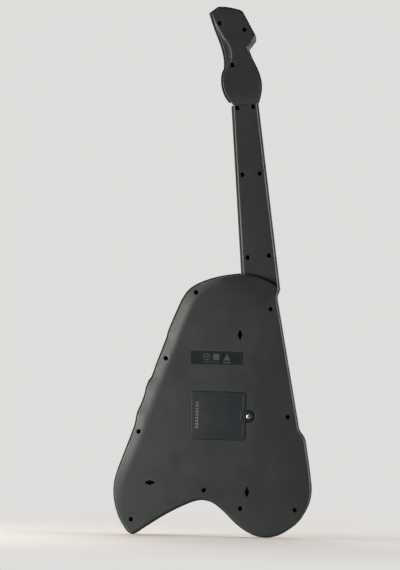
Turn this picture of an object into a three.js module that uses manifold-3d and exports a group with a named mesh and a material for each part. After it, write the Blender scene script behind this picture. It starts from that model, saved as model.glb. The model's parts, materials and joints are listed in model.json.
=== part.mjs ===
// Toy electric guitar with a hollow two-shell body, a neck, a headstock and battery electronics.
// Millimetres, +Z up: it stands on its two lobes, its back faces -Y and its strings face +Y.
// The origin is the bottom centre of the bounding box.
import * as THREE from "three";
import { mergeVertices } from "three/addons/utils/BufferGeometryUtils.js";
import Module from "manifold-3d";

const wasm = await Module();
wasm.setup();

// ---------------------------------------------------------------- driving dimensions
const GAP = 0.3; // clearance between touching pieces
const WALL = 2.5; // casing wall
const CUT = 40; // reach of a cut that goes right through
const CURVE_STEPS = { outer: 2, inner: 1 }; // outline points per control point

// Depths along Y. The casings part at 0.
const BODY_BACK = -21;
const BODY_FRONT = 13;
const NECK_BACK = -13;
const FINGERBOARD_TOP = 14;
const HEAD_BACK = -16;
const HEAD_FRONT = 9;
const FACEPLATE = [BODY_FRONT + GAP, BODY_FRONT + 1.6];
const PICKGUARD = [FACEPLATE[1] + GAP, FACEPLATE[1] + 1.5];
const STRING_Y = 21.5;

// Rims
const DEEPEST_BEVEL = 10.5;
const FRONT_BEVEL = 3.2;
const FACE_INSET = 5; // from the body's outline to the faceplate's edge
const STEP_IN = 1.5; // the back casings are this much smaller all round than the front ones
const NECK_STEP = 2; // the same on the neck
const LIP = 1.4; // chamfer round the front casings' back edge
const CORNER_MITER = 0.75; // least cosine used where an outline turns
const NECK_BEVEL = 3.3;

// Neck frame: its origin is the middle of the neck where it leaves the body.
const NECK_FOOT = { x: 56.3, z: 335 };
const NECK_LEAN = THREE.MathUtils.degToRad(6.5);
const NECK_LENGTH = 237;
const HEEL = { length: 27, halfWidth: 17, shoulder: 11 }; // the tongue inside the body
const HALF_WIDTH_FOOT = 25;
const HALF_WIDTH_NUT = 17.9;
const NECK_WALL = 2.2;

// Strings and frets, along the neck frame
const STRINGS = 6;
const STRING_RADIUS = 0.5;
const GUIDE_V = -38;
const BRIDGE_V = -176;
const GUIDE_PITCH = 5;
const BRIDGE_PITCH = 7.2;
const NUT_V = 233;
const FRETS = 14;

// Buttons
const PRESS = 1.2; // travel
const FRET_BUTTONS = 5;
const FRET_BUTTON_WIDTH = 13;
const BUTTON_RADIUS = 6.5;
const BUTTONS = { demo_button: [-74, 152], rhythm_button: [-68, 130], effect_button: [-50, 114] };
const KNOB = { x: -34, z: 178, radius: 10.5, shaft: 3 };
const SWITCH = { x: -4, z: 208, width: 8, height: 5.2, travel: 7 };

// Speaker
const SPEAKER = { x: 69, z: 62, radius: 28.5, opening: 24, grille: 29.6 };

// Battery bay
const COVER = { x: 5.2, z: 159.8, width: 72, height: 62.8, corner: 3.5, thick: 1.8 };
const COVER_SCREW = { x: 44.3, z: 160, tab: 6.7, tabRoom: 8, pad: 5, dish: 4.3, seat: -19 };
const BATTERY = { radius: 7.1, length: 48.5, pitch: 14.6, y: -10.3, x: 4.6 };
const BATTERY_BOX = { left: -30.5, right: 38.2, halfHeight: 31, top: -16.4, bottom: -1.5, wall: 1.6 };

// Casing screws, as [x, z] on the body and headstock, and as [u, v] in the neck frame
const SEAT_DEPTH = -8; // where a body screw's head lands
const HOLE_RADIUS = 3;
const PILOT_RADIUS = 1.75;
const BOSS_RADIUS = 4.4;
const SLIM_BOSS_RADIUS = 3.3; // beside the fret buttons
const BODY_SCREWS = [
  [-28.2, 321.4], [70.4, 301.8], [-66.1, 233.7], [-99.3, 136.4], [-106.5, 20.7],
  [-11.5, 61.5], [37, 38.3], [108.7, 38.2], [96.5, 160.3],
];
const NECK_SCREWS = [
  [-10.4, 233.2], [10.4, 233.2], [-11.4, 145], [11.4, 145], [-14, 36], [14, 36],
];
const HEAD_SCREWS = [[-6.8, 676.6], [26.2, 669.1], [11.5, 621.9]];

// The sunk panel that carries the rating label, as x, z and depth ranges
const LABEL_PANEL = { x: [-33, 36], z: [227.5, 244.7], depth: 0.4 };

// Strap sockets in the back, each a round hole with a slot across it
const SOCKET = { radius: 3.6, slot: 12.4, width: 4.7, cup: 9, depth: 7 };
const SOCKETS = [
  { x: 30.9, z: 267.1, upright: true },
  { x: -82.8, z: 69.7, upright: false },
  { x: 45.2, z: 60.6, upright: true },
];

// Outlines in the X-Z plane, anticlockwise seen from behind, each point as [x, z, bevel width].
// Neighbouring curves share their end point, which stays a corner.
const SHOULDER = [
  [82.5, 327, 2], [77, 333, 2], [70, 338, 2], [60, 343.5, 2.5], [49, 347.2, 2.5], [38, 348.5, 2.5],
  [28, 347.8, 3], [15, 346, 4], [0, 343, 6.5], [-17.5, 337.3, 10.5], [-30, 331.3, 13.5],
  [-37, 326, 15], [-42, 320.5, 16], [-48, 310, 16],
];
const FLANK = [[-48, 310, 16], [-122, 97.5, 16]];
const WAVY_FLANK = [
  [-48, 310, 16], [-56.5, 290, 16], [-64.8, 268, 16], [-66, 262, 16], [-79, 226, 16],
  [-84.5, 209, 16], [-88.3, 203.5, 16], [-92, 193, 16], [-93, 187, 16], [-97.5, 173, 16],
  [-102.5, 161, 16], [-105, 146, 16], [-106.8, 140, 16], [-122, 97.5, 16],
];
const LOBES = [
  [-122, 97.5, 16], [-128.7, 77, 15.5], [-131, 60, 14.5], [-129.6, 44, 12], [-124, 24, 8],
  [-115, 8.5, 4], [-109.5, 2.2, 2.5], [-104, 0, 2.5], [-98.5, 2.4, 2.5], [-92, 7, 2.5],
  [-75, 18.5, 2.5], [-57.5, 29.5, 2.5], [-34, 41.5, 2.5], [-22.5, 46, 2.5], [-13.5, 47.5, 2.5],
  [-5, 46.2, 2.5], [3, 42.8, 2.5], [16, 32.5, 2.5], [26, 22.5, 2.5], [38, 12.3, 2.5],
  [55, 2.8, 2.5], [71, 0, 2.5], [87, 2.8, 2.5], [105, 13.5, 2.5], [117, 25, 2.5],
  [128, 46, 2.5], [131, 64, 2.5], [129.5, 78, 2.5], [126.8, 97, 2.5], [123, 119, 2.5],
  [121, 130, 2.5], [118.5, 135.5, 2.5], [114.2, 141, 2.5], [112, 146, 2.5],
];
const WAIST = [[112, 146, 2], [79.5, 314, 2]];
const CORNER = [[79.5, 314, 2], [79.4, 319.5, 2], [82.5, 327, 2]];
const HEAD_CURVES = [
  [[46.7, 569.4, 2], [50, 581, 2], [51.5, 593, 2], [50, 605, 2], [45.3, 618, 2], [37.8, 632, 2],
    [33.4, 642.3, 2]],
  [[33.4, 642.3, 3], [41.9, 654.3, 4]],
  [[41.9, 654.3, 3.5], [42, 659, 3], [40.7, 663.2, 2]],
  [[40.7, 663.2, 2], [23.6, 693.2, 2]],
  [[23.6, 693.2, 2], [19.6, 695.6, 2], [8.9, 698, 2], [-1, 699.3, 2], [-9.3, 699, 2]],
  [[-9.3, 699, 2], [-21, 690, 2]],
  [[-21, 690, 2], [-13.5, 669, 5.5], [-5, 648.5, 8.5], [-0.5, 632, 10], [0.4, 622, 7],
    [0.2, 617, 2]],
  [[0.2, 617, 2], [-2, 612, 2], [-3.1, 602.5, 2], [-1.4, 590.5, 2], [3, 580, 2],
    [13.7, 565.8, 2]],
];
const PICKGUARD_REGION = [
  [95, 310], [45, 330], [18, 304], [2, 262], [-22, 228], [-55, 208], [-82, 180], [-92, 142],
  [-88, 112], [-66, 98], [-36, 97], [-8, 106], [18, 114], [44, 112], [64, 105], [92, 106],
  [135, 122], [130, 210],
];

// ---------------------------------------------------------------- solids
function solid(geometry) {
  const bare = geometry.clone();
  bare.deleteAttribute("normal");
  bare.deleteAttribute("uv");
  const merged = mergeVertices(bare, 1e-4);
  return new wasm.Manifold(new wasm.Mesh({
    numProp: 3,
    vertProperties: merged.attributes.position.array,
    triVerts: new Uint32Array(merged.index.array),
  }));
}

function geometryOf(body) {
  const { vertProperties, triVerts } = body.getMesh();
  const geometry = new THREE.BufferGeometry();
  geometry.setAttribute("position", new THREE.BufferAttribute(vertProperties, 3));
  geometry.setIndex(new THREE.BufferAttribute(triVerts, 1));
  geometry.computeVertexNormals();
  return geometry;
}

const union = (bodies) => bodies.reduce((all, one) => all.add(one));

// Drops the slivers that a cut leaves beside the piece itself.
const largest = (body) => body.decompose().reduce((a, b) => (a.volume() > b.volume() ? a : b));

// A plate of the given X-Z outline between two depths.
function plate(points, [low, high]) {
  const shape = new THREE.Shape(points.map(([x, z]) => new THREE.Vector2(x, z)));
  const geometry = new THREE.ExtrudeGeometry(shape, { depth: high - low, bevelEnabled: false });
  return solid(geometry.rotateX(Math.PI / 2).translate(0, high, 0));
}

function cylinder(x, z, radius, [low, high], sides = 12, topRadius = radius) {
  const geometry = new THREE.CylinderGeometry(topRadius, radius, high - low, sides);
  return solid(geometry.translate(x, (low + high) / 2, z));
}

function box([x0, x1], [y0, y1], [z0, z1]) {
  const geometry = new THREE.BoxGeometry(x1 - x0, y1 - y0, z1 - z0);
  return solid(geometry.translate((x0 + x1) / 2, (y0 + y1) / 2, (z0 + z1) / 2));
}

// A solid of revolution about Y. The profile of [radius, y] rises from the axis back to the axis.
function turned(profile, segments = 8) {
  const points = profile.map(([radius, y]) => new THREE.Vector2(radius, y));
  return new THREE.LatheGeometry(points, segments);
}

function roundedRectangle(x, z, width, height, corner) {
  const points = [];
  [[1, 1], [-1, 1], [-1, -1], [1, -1]].forEach(([sx, sz], quarter) => {
    for (const share of [0, 0.5, 1]) {
      const angle = (quarter + share) * Math.PI / 2;
      points.push([
        x + sx * (width / 2 - corner) + corner * Math.cos(angle),
        z + sz * (height / 2 - corner) + corner * Math.sin(angle),
      ]);
    }
  });
  return points;
}

// ---------------------------------------------------------------- outlines and shells
function sampled(controls, steps) {
  const vectors = controls.map(([x, z, bevel = 0]) => new THREE.Vector3(x, z, bevel));
  if (vectors.length === 2) return [vectors[0]];
  const curve = new THREE.CatmullRomCurve3(vectors, false, "centripetal");
  const count = (controls.length - 1) * steps;
  return Array.from({ length: count }, (_, i) => curve.getPoint(i / count));
}

// Joins curves into one closed outline and gives each point its inward normal.
function outlineOf(curves, steps) {
  const points = curves.flatMap((controls) => sampled(controls, steps));
  return points.map((p, i) => {
    const before = points[(i + points.length - 1) % points.length];
    const after = points[(i + 1) % points.length];
    const into = new THREE.Vector2(p.x - before.x, p.y - before.y).normalize();
    const out = new THREE.Vector2(after.x - p.x, after.y - p.y).normalize();
    const along = into.clone().add(out).normalize();
    const miter = 1 / Math.max(along.dot(into), CORNER_MITER);
    return { x: p.x, z: p.y, bevel: p.z, nx: -along.y * miter, nz: along.x * miter };
  });
}

const insetPoints = (outline, inset) =>
  outline.map((p) => [p.x + p.nx * inset, p.z + p.nz * inset]);

// A closed body with one ring of outline points per station, each as point => [inset, y].
function loft(outline, stations) {
  const count = outline.length;
  const rings = stations.map((station) => outline.map((p) => {
    const [inset, y] = station(p);
    return [p.x + p.nx * inset, y, p.z + p.nz * inset];
  }));
  const faces = [];
  for (let k = 0; k + 1 < rings.length; k++) {
    for (let i = 0; i < count; i++) {
      const a = k * count + i;
      const b = k * count + (i + 1) % count;
      faces.push([a, b, b + count], [a, b + count, a + count]);
    }
  }
  const last = (rings.length - 1) * count;
  const cap = (ring) =>
    THREE.ShapeUtils.triangulateShape(ring.map(([x, , z]) => new THREE.Vector2(x, z)), []);
  cap(rings[0]).forEach(([a, b, c]) => faces.push([c, b, a]));
  cap(rings.at(-1)).forEach(([a, b, c]) => faces.push([a + last, b + last, c + last]));
  if (rings.at(-1)[0][1] > rings[0][0][1]) faces.forEach((face) => face.reverse());
  const geometry = new THREE.BufferGeometry();
  geometry.setAttribute("position", new THREE.Float32BufferAttribute(rings.flat(2), 3));
  geometry.setIndex(faces.flat());
  return solid(geometry);
}

// A half casing from its rim to its face, with each point's own bevel round the face.
// `inset` takes it in from the outline, and `lip` is a chamfer round its rim.
function hollowCasing({ outer, inner }, [rim, face], bevelOf, options = {}) {
  const { inset = 0, wall = WALL, lip = 0 } = options;
  const way = Math.sign(rim - face);
  const height = (p) => Math.min(bevelOf(p), DEEPEST_BEVEL);
  const skin = loft(outer, [
    () => [inset + lip, rim],
    ...(lip ? [() => [inset, rim - way * lip]] : []),
    (p) => [inset, face + way * height(p)],
    (p) => [inset + 0.8 * bevelOf(p), face + way * 0.14 * height(p)],
    (p) => [inset + bevelOf(p), face],
  ]);
  const room = loft(inner, [
    () => [inset + wall, rim + way],
    (p) => [inset + wall + 0.3 * bevelOf(p), face + way * (wall + height(p))],
    (p) => [inset + wall + bevelOf(p), face + way * wall],
  ]);
  return { skin, hollow: skin.subtract(room) };
}

const ownBevel = (p) => p.bevel;
const outlines = (curves) => ({
  outer: outlineOf(curves, CURVE_STEPS.outer),
  inner: outlineOf(curves, CURVE_STEPS.inner),
});

// Straight edges from corner to corner.
const edges = (corners) =>
  corners.map((corner, i) => [corner, corners[(i + 1) % corners.length]]);

const backOutline = outlines([SHOULDER, FLANK, LOBES, WAIST, CORNER]);
const frontOutline = outlines([SHOULDER, WAVY_FLANK, LOBES, WAIST, CORNER]);
const headOutline = outlines(HEAD_CURVES);
// The neck's outline, its top end drawn out by `extra`.
const neckShape = (extra) => outlines(edges([
  [-HEEL.halfWidth, -HEEL.length], [HEEL.halfWidth, -HEEL.length],
  [HEEL.halfWidth, -HEEL.shoulder], [HALF_WIDTH_FOOT + 0.2, -HEEL.shoulder],
  [HALF_WIDTH_NUT, NECK_LENGTH + extra], [-HALF_WIDTH_NUT, NECK_LENGTH + extra],
  [-HALF_WIDTH_FOOT - 0.2, -HEEL.shoulder], [-HEEL.halfWidth, -HEEL.shoulder],
]));
const neckOutline = neckShape(0);

const neckFrame = new THREE.Matrix4()
  .makeTranslation(NECK_FOOT.x, 0, NECK_FOOT.z)
  .multiply(new THREE.Matrix4().makeRotationY(-NECK_LEAN));

function inNeckFrame(body) {
  return solid(geometryOf(body).applyMatrix4(neckFrame));
}

// ---------------------------------------------------------------- screws and bosses
const SCREW_HEAD = 2.5;
const SCREW_SHANK = 1.35;

// A pan-head screw driven towards +Y, its head's underside at y = 0.
function screwGeometry(length) {
  return turned([
    [0, -1.8], [SCREW_HEAD, -1.8], [SCREW_HEAD, 0],
    [SCREW_SHANK, 0], [SCREW_SHANK, length - 2], [0, length],
  ]);
}

const bossesAt = (places, range, radius = BOSS_RADIUS) =>
  union(places.map(([x, z]) => cylinder(x, z, radius, range, 8)));

// The stepped hole of each screw: a wide way in for the head, then the shank's own.
const screwHolesAt = (places, seat, tip) =>
  union(places.flatMap(([x, z]) => [
    cylinder(x, z, HOLE_RADIUS, [-CUT, seat], 10),
    cylinder(x, z, PILOT_RADIUS, [seat - 1, tip], 6),
  ]));

function screws(group, name, places, seat, length, material) {
  places.forEach(([x, z], i) => {
    const screw = new THREE.Mesh(screwGeometry(length), material);
    screw.name = `${name}_${i + 1}`;
    screw.position.set(x, seat - GAP, z);
    group.add(screw);
  });
}

// ---------------------------------------------------------------- body casings
const coverOutline = (grow) =>
  roundedRectangle(COVER.x, COVER.z, COVER.width + grow, COVER.height + grow, COVER.corner);

function coverShape(grow, range, tabRadius) {
  const tab = cylinder(COVER_SCREW.x, COVER_SCREW.z, tabRadius, range, 20);
  return plate(coverOutline(grow), range).add(tab);
}

const HOOKS = [-18, 18]; // along Z from the cover's middle
const COVER_LEFT = COVER.x - COVER.width / 2;

function socketHole({ x, z, upright }) {
  const long = SOCKET.slot / 2;
  const half = SOCKET.width / 2;
  const across = upright ? [x - half, x + half] : [x - long, x + long];
  const along = upright ? [z - long, z + long] : [z - half, z + half];
  const range = [BODY_BACK - 1, BODY_BACK + WALL + 1];
  return cylinder(x, z, SOCKET.radius, range, 14).add(box(across, range, along));
}

function socketCup({ x, z }) {
  const floor = BODY_BACK + WALL + SOCKET.depth;
  const outside = cylinder(x, z, SOCKET.cup, [BODY_BACK + 1, floor + 1.5], 10);
  return outside.subtract(cylinder(x, z, SOCKET.cup - 1.6, [BODY_BACK, floor], 10));
}

function backShell() {
  const { skin, hollow } = hollowCasing(backOutline, [-GAP / 2, BODY_BACK], ownBevel,
    { inset: STEP_IN });
  const ledge = [BODY_BACK + COVER.thick + GAP, BODY_BACK + 4.3];
  const bossReach = [BODY_BACK + 1, -GAP / 2];
  const inside = union([
    bossesAt(BODY_SCREWS, bossReach),
    plate(coverOutline(6), ledge),
    cylinder(COVER_SCREW.x, COVER_SCREW.z, COVER_SCREW.tabRoom + 1.5, ledge, 20),
    cylinder(COVER_SCREW.x, COVER_SCREW.z, 5.6, [BODY_BACK + 1, -9]),
    ...SOCKETS.map(socketCup),
  ]).intersect(skin);
  const hookRoom = HOOKS.map((z) => box(
    [COVER_LEFT - 5, COVER_LEFT + 3.4],
    [BODY_BACK + COVER.thick, BODY_BACK + 9],
    [COVER.z + z - 6, COVER.z + z + 6],
  ));
  const ledgeOpening = roundedRectangle(COVER.x, COVER.z, 66, 59.6, 2.5);
  return hollow.add(inside)
    .subtract(union([
      screwHolesAt(BODY_SCREWS, SEAT_DEPTH, 1),
      coverShape(0.7, [BODY_BACK - 1, ledge[0]], COVER_SCREW.tabRoom),
      plate(ledgeOpening, [BODY_BACK - 1, BODY_BACK + 6]),
      cylinder(COVER_SCREW.x, COVER_SCREW.z, 2.4, [BODY_BACK, 0], 10),
      cylinder(COVER_SCREW.x, COVER_SCREW.z, COVER_SCREW.pad + 0.4, [BODY_BACK, -17.2], 16),
      ...hookRoom,
    ]))
    .subtract(union(SOCKETS.map(socketHole)))
    .subtract(box(LABEL_PANEL.x, [BODY_BACK - 1, BODY_BACK + LABEL_PANEL.depth], LABEL_PANEL.z))
    .subtract(neckSlot([NECK_BACK - 0.4, 1]));
}

// The room that the neck's heel needs in the body.
function neckSlot(range) {
  return inNeckFrame(plate(insetPoints(neckOutline.inner, -0.4), range));
}

function frontShell() {
  const bevel = () => FRONT_BEVEL;
  const rim = GAP / 2;
  const { skin, hollow } = hollowCasing(frontOutline, [rim, BODY_FRONT], bevel, { lip: LIP });
  const bosses = bossesAt(BODY_SCREWS, [rim, BODY_FRONT - 1]).intersect(skin);
  const pilots = BODY_SCREWS.map(([x, z]) => cylinder(x, z, PILOT_RADIUS, [-1, 9], 6));
  return hollow.add(bosses)
    .subtract(union([...pilots, ...controlHoles()]))
    .subtract(cylinder(SPEAKER.x, SPEAKER.z, SPEAKER.opening, [0, CUT], 24))
    .subtract(neckSlot([-1, CUT]));
}

// Holes for the buttons, the knob's shaft and the switch, through the front casing and its plates.
function controlHoles() {
  const range = [5, CUT];
  const buttons = Object.values(BUTTONS)
    .map(([x, z]) => cylinder(x, z, BUTTON_RADIUS + 0.6, range, 16));
  const slot = [SWITCH.x - SWITCH.width / 2 - 0.4, SWITCH.x + SWITCH.width / 2 + SWITCH.travel + 0.4];
  const slotHalf = SWITCH.height / 2 + 0.4;
  return [
    ...buttons,
    cylinder(KNOB.x, KNOB.z, KNOB.shaft + 0.5, range),
    box(slot, range, [SWITCH.z - slotHalf, SWITCH.z + slotHalf]),
  ];
}

function faceplate() {
  return largest(plate(insetPoints(frontOutline.inner, FACE_INSET), FACEPLATE)
    .subtract(union(controlHoles()))
    .subtract(cylinder(SPEAKER.x, SPEAKER.z, SPEAKER.grille + 0.4, [0, CUT], 32))
    .subtract(neckSlot([-1, CUT])));
}

// The pickguard carries the block that the strings run into beside the neck.
function pickguard() {
  const region = new THREE.CatmullRomCurve3(
    PICKGUARD_REGION.map(([x, z]) => new THREE.Vector3(x, z, 0)), true, "centripetal");
  const points = region.getPoints(PICKGUARD_REGION.length * 3).slice(0, -1);
  const sheet = plate(insetPoints(frontOutline.inner, FACE_INSET), PICKGUARD)
    .intersect(plate(points.map((p) => [p.x, p.y]), PICKGUARD));
  const block = box([-15.5, 15.5], [PICKGUARD[0], STRING_Y + 2], [GUIDE_V - 5, GUIDE_V + 4]);
  return largest(sheet.add(inNeckFrame(block))
    .subtract(union([...controlHoles(), ...stringHoles()]))
    .subtract(neckSlot([-1, PICKGUARD[1] + GAP])));
}

// ---------------------------------------------------------------- strings and bridge
const stringEnds = (i) => {
  const place = i - (STRINGS - 1) / 2;
  return [
    new THREE.Vector3(place * GUIDE_PITCH, STRING_Y, GUIDE_V - 2),
    new THREE.Vector3(place * BRIDGE_PITCH, STRING_Y, BRIDGE_V + 4),
  ];
};

function rod(from, to, radius, sides) {
  const along = to.clone().sub(from);
  const geometry = new THREE.CylinderGeometry(radius, radius, along.length(), sides);
  const turn = new THREE.Quaternion()
    .setFromUnitVectors(new THREE.Vector3(0, 1, 0), along.normalize());
  const middle = from.clone().add(to).multiplyScalar(0.5);
  return geometry.applyQuaternion(turn).translate(middle.x, middle.y, middle.z);
}

// A clearance hole round each string's end, in the body's frame.
function stringHoles() {
  return Array.from({ length: STRINGS }, (_, i) => {
    const [from, to] = stringEnds(i);
    const beyond = from.clone().sub(to).normalize().multiplyScalar(0.6);
    return inNeckFrame(solid(rod(from.clone().add(beyond), to, STRING_RADIUS + 0.4, 8)));
  });
}

const BRIDGE_HALF = 24;
const PIVOT = { y: 20.3, radius: 1.9 };

function bridge() {
  const floor = PICKGUARD[1] + GAP;
  const section = new THREE.Shape([
    new THREE.Vector2(-9, floor), new THREE.Vector2(9, floor), new THREE.Vector2(9, floor + 5),
    new THREE.Vector2(6, floor + 7.6), new THREE.Vector2(-5, floor + 7.6),
    new THREE.Vector2(-9, floor + 3),
  ]);
  const length = 2 * BRIDGE_HALF;
  const block = solid(new THREE.ExtrudeGeometry(section, { depth: length, bevelEnabled: false })
    .applyMatrix4(new THREE.Matrix4().makeBasis(
      new THREE.Vector3(0, 0, 1), new THREE.Vector3(0, 1, 0), new THREE.Vector3(-1, 0, 0)))
    .translate(BRIDGE_HALF, 0, BRIDGE_V));
  const saddles = Array.from({ length: STRINGS }, (_, i) => {
    const u = (i - (STRINGS - 1) / 2) * BRIDGE_PITCH;
    return box([u - 2.4, u + 2.4], [floor + 6, floor + 9], [BRIDGE_V - 3.5, BRIDGE_V + 4.5]);
  });
  const holes = Array.from({ length: STRINGS }, (_, i) => {
    const [from, to] = stringEnds(i);
    const beyond = to.clone().sub(from).normalize().multiplyScalar(0.6);
    return solid(rod(from, to.clone().add(beyond), STRING_RADIUS + 0.4, 8));
  });
  const socket = solid(rod(
    new THREE.Vector3(-BRIDGE_HALF - 1, PIVOT.y, BRIDGE_V),
    new THREE.Vector3(-BRIDGE_HALF + 8, PIVOT.y, BRIDGE_V), PIVOT.radius + 0.35, 12));
  return block.add(union(saddles)).subtract(union([...holes, socket]));
}

// The whammy bar hangs on a pin in the bridge's end and returns by a spring inside the bridge.
const WHAMMY_U = -BRIDGE_HALF - 4;
const WHAMMY_PATH = [
  [WHAMMY_U, PIVOT.y, BRIDGE_V], [WHAMMY_U, PIVOT.y + 3, BRIDGE_V + 5],
  [WHAMMY_U - 1, PIVOT.y + 5.6, BRIDGE_V + 13], [WHAMMY_U - 4, PIVOT.y + 6.2, BRIDGE_V + 26],
  [WHAMMY_U - 12, PIVOT.y + 5.6, BRIDGE_V + 52], [WHAMMY_U - 21, PIVOT.y + 5.2, BRIDGE_V + 76],
];
const WHAMMY_RADIUS = 2.3;

function whammyBar() {
  const path = new THREE.CatmullRomCurve3(WHAMMY_PATH.map((p) => new THREE.Vector3(...p)));
  const section = new THREE.Shape().absarc(0, 0, WHAMMY_RADIUS, 0, Math.PI * 2);
  const arm = solid(new THREE.ExtrudeGeometry(section, {
    extrudePath: path, steps: 10, curveSegments: 4, bevelEnabled: false,
  }));
  const tip = new THREE.SphereGeometry(4, 10, 6).translate(...WHAMMY_PATH.at(-1));
  const hub = rod(new THREE.Vector3(WHAMMY_U - 3.4, PIVOT.y, BRIDGE_V),
    new THREE.Vector3(WHAMMY_U + 3.4, PIVOT.y, BRIDGE_V), 4, 14);
  const pin = rod(new THREE.Vector3(WHAMMY_U, PIVOT.y, BRIDGE_V),
    new THREE.Vector3(-BRIDGE_HALF + 7, PIVOT.y, BRIDGE_V), PIVOT.radius, 12);
  return union([arm, solid(tip), solid(hub), solid(pin)]);
}

// ---------------------------------------------------------------- neck and headstock
const scale = NUT_V - BRIDGE_V; // nut to bridge
const fretAt = (n) => NUT_V - scale * (1 - 2 ** (-n / 12));

function halfWidthAt(v) {
  return HALF_WIDTH_FOOT + (HALF_WIDTH_NUT - HALF_WIDTH_FOOT) * v / NECK_LENGTH;
}

const fretButtonAt = (n) => {
  const top = fretAt(n);
  const bottom = fretAt(n + 1);
  return { v: (top + bottom) / 2, height: (top - bottom) * 0.62 };
};

function neckBackCover() {
  const { skin, hollow } = hollowCasing(neckShape(NECK_STEP), [-GAP / 2, NECK_BACK], () => NECK_BEVEL,
    { inset: NECK_STEP, wall: NECK_WALL });
  const bosses = bossesAt(NECK_SCREWS, [NECK_BACK + 1, -GAP / 2]).intersect(skin);
  const wallEnd = -HEEL.length + NECK_STEP + NECK_WALL + 1;
  const cableWay = box([-9, 9], [-9, 1], [-HEEL.length - 1, wallEnd]);
  return hollow.add(bosses).subtract(screwHolesAt(NECK_SCREWS, -6, 1)).subtract(cableWay);
}

function fingerboard() {
  const rim = GAP / 2;
  const { skin, hollow } = hollowCasing(neckOutline, [rim, FINGERBOARD_TOP], () => 1,
    { wall: NECK_WALL, lip: LIP });
  const bosses = bossesAt(NECK_SCREWS, [rim, FINGERBOARD_TOP - 1], SLIM_BOSS_RADIUS)
    .intersect(skin);
  const pilots = NECK_SCREWS.map(([u, v]) => cylinder(u, v, PILOT_RADIUS, [-1, 8], 6));
  const frets = Array.from({ length: FRETS }, (_, i) => {
    const v = fretAt(i + 1);
    const half = halfWidthAt(v) - 1;
    return box([-half, half], [FINGERBOARD_TOP - 0.5, FINGERBOARD_TOP + 0.8], [v - 0.8, v + 0.8]);
  });
  const nut = box([-17, 17], [FINGERBOARD_TOP - 1, FINGERBOARD_TOP + 2.2], [NUT_V - 1.2, NUT_V + 3]);
  const tenon = box([-9, 9], [rim, HEAD_FRONT - WALL - 1.2], [NECK_LENGTH - 4, NECK_LENGTH + 12]);
  const buttonHoles = Array.from({ length: FRET_BUTTONS }, (_, i) => {
    const { v, height } = fretButtonAt(i + 1);
    const outline = roundedRectangle(0, v, FRET_BUTTON_WIDTH + 0.8, height + 0.8, 2.8);
    return plate(outline, [5, CUT]);
  });
  return hollow.add(union([bosses, ...frets, nut, tenon]))
    .subtract(union([...pilots, ...buttonHoles]));
}

function headstockBack() {
  const { skin, hollow } = hollowCasing(headOutline, [-GAP / 2, HEAD_BACK], ownBevel,
    { inset: STEP_IN });
  const bosses = bossesAt(HEAD_SCREWS, [HEAD_BACK + 1, -GAP / 2]).intersect(skin);
  return hollow.add(bosses).subtract(screwHolesAt(HEAD_SCREWS, -7, 1)).subtract(neckEnd());
}

function headstockFront() {
  const rim = GAP / 2;
  const { skin, hollow } = hollowCasing(headOutline, [rim, HEAD_FRONT], () => 2, { lip: LIP });
  const bosses = bossesAt(HEAD_SCREWS, [rim, HEAD_FRONT - 1]).intersect(skin);
  const pilots = HEAD_SCREWS.map(([x, z]) => cylinder(x, z, PILOT_RADIUS, [-1, 6], 6));
  const tenonRoom = box([-9.4, 9.4], [-1, HEAD_FRONT - WALL - 0.8],
    [NECK_LENGTH - 6, NECK_LENGTH + 12.5]);
  return hollow.add(bosses)
    .subtract(union([...pilots, inNeckFrame(tenonRoom)])).subtract(neckEnd());
}

// Trims the headstock square where the neck butts against it.
function neckEnd() {
  return inNeckFrame(box([-40, 40], [-CUT, CUT], [NECK_LENGTH - 30, NECK_LENGTH + GAP]));
}

const TUNERS = 6;

function tunerPlate() {
  const base = HEAD_FRONT + GAP;
  const from = [26, 600];
  const to = [5, 684];
  const at = (share) => [0, 1].map((k) => from[k] + (to[k] - from[k]) * share);
  const lean = Math.atan2(from[0] - to[0], to[1] - from[1]);
  const [side, up] = [Math.cos(lean) * 7, Math.sin(lean) * 7];
  const strip = [
    [from[0] - side, from[1] - up - 7], [from[0] + side, from[1] + up - 7],
    [to[0] + side, to[1] + up + 5], [to[0] - side, to[1] - up + 5],
  ];
  const posts = Array.from({ length: TUNERS }, (_, i) => {
    const [x, z] = at((i + 0.25) / (TUNERS - 0.5));
    return cylinder(x, z, 4, [base, base + 6.5], 10, 3.4);
  });
  return plate(strip, [base, base + 1.6]).add(union(posts));
}

// ---------------------------------------------------------------- controls
function roundButton() {
  const board = MAIN_BOARD_TOP + 2.4;
  const under = BODY_FRONT - WALL - GAP;
  return union([
    cylinder(0, 0, BUTTON_RADIUS, [under - 1, 19], 16),
    cylinder(0, 0, BUTTON_RADIUS + 1.6, [under - 1.4, under], 8),
    cylinder(0, 0, 2.5, [board, under - 1], 6),
  ]);
}

function fretButton(n) {
  const { height } = fretButtonAt(n);
  const ceiling = FINGERBOARD_TOP - NECK_WALL - GAP;
  const cap = roundedRectangle(0, 0, FRET_BUTTON_WIDTH, height, 2.5);
  const half = FRET_BUTTON_WIDTH / 2 + 1.2;
  return union([
    plate(cap, [ceiling - 1.4, FINGERBOARD_TOP + 2.4]),
    box([-half, half], [ceiling - 1.4, ceiling], [-height / 2 - 1.2, height / 2 + 1.2]),
    cylinder(0, 0, 2.2, [NECK_BOARD_TOP + 1.2 + PRESS + GAP, ceiling - 1], 8),
  ]);
}

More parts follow.
